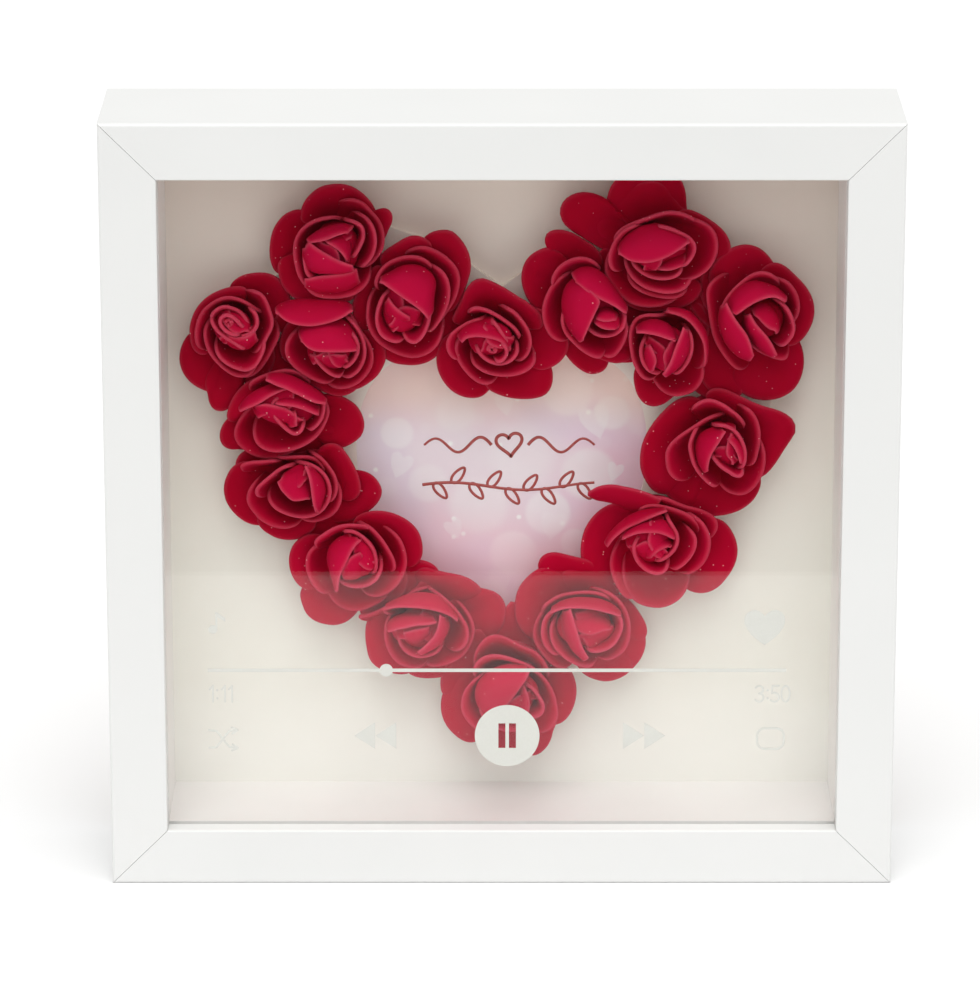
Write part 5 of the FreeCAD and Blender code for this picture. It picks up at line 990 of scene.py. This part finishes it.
def build_mesh(name, parts, painted_height_shades=None):
    """parts: list of (verts in metres, quads, rims)."""
    co = np.concatenate([p[0] for p in parts])
    off, quads = 0, []
    for p in parts:
        quads.append(p[1] + off)
        off += len(p[0])
    quads = np.concatenate(quads).astype(np.int32)
    me = bpy.data.meshes.new(name)
    me.vertices.add(len(co))
    me.vertices.foreach_set("co", co.astype(np.float32).ravel())
    me.loops.add(quads.size)
    me.loops.foreach_set("vertex_index", quads.ravel())
    me.polygons.add(len(quads))
    me.polygons.foreach_set("loop_start", np.arange(0, quads.size, 4, dtype=np.int32))
    me.polygons.foreach_set("use_smooth", np.ones(len(quads), bool))
    me.update(calc_edges=True)
    at = me.attributes.new("rim", "FLOAT", "POINT")
    at.data.foreach_set("value", np.concatenate([p[2] for p in parts]).astype(np.float32))
    if painted_height_shades is not None:
        at = me.attributes.new("painted_height_shade", "FLOAT", "POINT")
        at.data.foreach_set("value", painted_height_shades.astype(np.float32))
    me.validate()
    return me


for i in range(1, 18):
    parts, painted_height_shades = [], []
    for verts, quads, rims in rose_parts(i):
        parts.append((settle(i, verts), quads, rims))
        # painted light: the higher a point of a petal, the lighter its foam colour; low petals get the darker painted
        # shade
        painted_height_shades.append(np.clip((verts[:, 2] - 5.0) / 13.0, 0, 1) ** 2.0)
    me = build_mesh("foam_rose_%02d" % i, parts, np.concatenate(painted_height_shades))
    o = bpy.data.objects.new("foam_rose_%02d" % i, me)
    scene.collection.objects.link(o)
    me.materials.append(FOAM.m)
    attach(o, "frame")
    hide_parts("rose_%02d" % i)


# ---------------------------------------------------------------- printed line motif in the window
def ribbon(points, width, closed=False, lift=0.0):
    """A flat stroke through points (x, z) in mm, as a thin closed strip on the print."""
    pts = np.array(points, float)
    n = len(pts)
    if closed:
        tan = np.roll(pts, -1, 0) - np.roll(pts, 1, 0)
    else:
        tan = np.gradient(pts, axis=0)
    tan /= np.maximum(np.linalg.norm(tan, axis=1, keepdims=True), 1e-9)
    nrm = np.stack([-tan[:, 1], tan[:, 0]], -1)
    if np.ndim(width) == 0:
        width = np.full(n, float(width))
    a, b = pts + nrm * width[:, None] / 2, pts - nrm * width[:, None] / 2
    yf, yb = Y0 + 37.722 - lift, Y0 + 37.752
    rows = []
    for (ax, az), (bx, bz) in zip(a, b):
        rows.append([(ax, yf, az), (bx, yf, bz), (bx, yb, bz), (ax, yb, az)])
    v = np.array(rows).reshape(-1, 3) * MM
    q = []
    for k in range(n if closed else n - 1):
        k2 = (k + 1) % n
        for c in range(4):
            c2 = (c + 1) % 4
            q.append((4 * k + c, 4 * k2 + c, 4 * k2 + c2, 4 * k + c2))
    if not closed:
        q.append((0, 1, 2, 3))
        q.append((4 * n - 1, 4 * n - 2, 4 * n - 3, 4 * n - 4))
    return v, np.array(q), np.zeros(len(v))


def heart_line(cx, cz, size, turn, n=60):
    t = np.linspace(0, 2 * math.pi, n, endpoint=False) + 0.4
    x = 16 * np.sin(t) ** 3
    z = 13 * np.cos(t) - 5 * np.cos(2 * t) - 2 * np.cos(3 * t) - np.cos(4 * t)
    x, z = x / 16 * size, z / 16 * size
    for _ in range(5):
        x = 0.25 * np.roll(x, 1) + 0.5 * x + 0.25 * np.roll(x, -1)
        z = 0.25 * np.roll(z, 1) + 0.5 * z + 0.25 * np.roll(z, -1)
    c, s = math.cos(turn), math.sin(turn)
    return np.stack([cx + x * c - z * s, cz + x * s + z * c], -1)


strokes = []
t = np.linspace(0, 1, 90)
# upper row: a loose wave that ends in two curls, with a small heart in the middle
strokes.append(ribbon(heart_line(2.0, 106.8, 3.5, 0.12), 0.85, closed=True))
for sgn, x0, x1 in ((-1, -2.6, -20.0), (1, 6.8, 24.0)):
    x = x0 + (x1 - x0) * t
    z = 106.3 + 2.2 * np.sin(t * 2 * math.pi * 1.5) * (1 - 0.25 * t)
    strokes.append(ribbon(np.stack([x, z], -1), 0.85 * (1 - 0.30 * t)))
# lower row: a leafy sprig drawn in one line
x = -20.5 + 44.5 * t
z = 95.2 + 1.0 * np.sin(t * 2 * math.pi * 1.15 + 0.4)
strokes.append(ribbon(np.stack([x, z], -1), 0.82 - 0.16 * t, lift=0.012))
for k in range(9):
    f = 0.07 + 0.105 * k
    bx, bz = -20.5 + 44.5 * f, 95.2 + 1.0 * math.sin(f * 2 * math.pi * 1.15 + 0.4)
    side = 1 if k % 2 else -1
    a = math.radians(52 if side > 0 else -52)
    s = np.linspace(0, 2 * math.pi, 40, endpoint=False)
    lx, lz = 2.5 * (1 - np.cos(s)), 1.35 * np.sin(s) * (0.6 + 0.4 * np.cos(s / 2) ** 2)
    pts = np.stack([bx + lx * math.cos(a) - lz * math.sin(a), bz + lx * math.sin(a) + lz * math.cos(a)], -1)
    strokes.append(ribbon(pts, 0.70, closed=True))
motif = bpy.data.objects.new("print_motif", build_mesh("print_motif", strokes))
scene.collection.objects.link(motif)
motif.data.materials.append(make_motif_ink().m)
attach(motif, "frame")


# ---------------------------------------------------------------- studio
def plane(name, x0, x1, y0, y1, z):
    me = bpy.data.meshes.new(name)
    me.from_pydata([(x0, y0, z), (x1, y0, z), (x1, y1, z), (x0, y1, z)], [], [(0, 1, 2, 3)])
    o = bpy.data.objects.new(name, me)
    scene.collection.objects.link(o)
    return o


floor = plane("studio_floor", -9, 9, -9, 9, 0.0)
g = Mat("studio_floor")
fl = g.noise(3.0, 2.0)
g.bsdf(Base_Color=g.mix(g.ramp(fl, 0.3, 0.7), (0.840, 0.840, 0.840), (0.850, 0.850, 0.850)), Roughness=0.75,
       Specular_IOR_Level=0.2)
floor.data.materials.append(g.m)

# black card on the floor in front of the white sheet, seen only in reflections
flag = plane("dark_flag", -3.0, 3.0, -5.0, -0.2652, 0.0012)
g = Mat("dark_flag")
g.bsdf(Base_Color=g.mix(g.noise(20.0), (0.010, 0.010, 0.010), (0.014, 0.014, 0.014)), Roughness=0.9,
       Specular_IOR_Level=0.0)
flag.data.materials.append(g.m)
flag.visible_camera = False
flag.visible_diffuse = False
flag.visible_transmission = False
flag.visible_volume_scatter = False
flag.visible_shadow = False

world = bpy.data.worlds.new("studio")
scene.world = world
world.use_nodes = True
bg = world.node_tree.nodes["Background"]
bg.inputs["Color"].default_value = (1.0, 0.995, 0.985, 1.0)
bg.inputs["Strength"].default_value = 0.50


# one broad, even light from above, a little in front and to the right
sun_data = bpy.data.lights.new("broad_light", "SUN")
sun_data.angle = math.radians(56.0)
sun_data.energy = 2.20
sun = bpy.data.objects.new("broad_light", sun_data)
sun.rotation_euler = Vector((-0.03, 0.220, -0.975)).to_track_quat("-Z", "Y").to_euler()
scene.collection.objects.link(sun)
# softer light from the front, over the camera
fill_data = bpy.data.lights.new("front_fill", "SUN")
fill_data.angle = math.radians(52.0)
fill_data.energy = 0.74
fill = bpy.data.objects.new("front_fill", fill_data)
fill.rotation_euler = Vector((0.04, 0.82, -0.57)).to_track_quat("-Z", "Y").to_euler()
scene.collection.objects.link(fill)
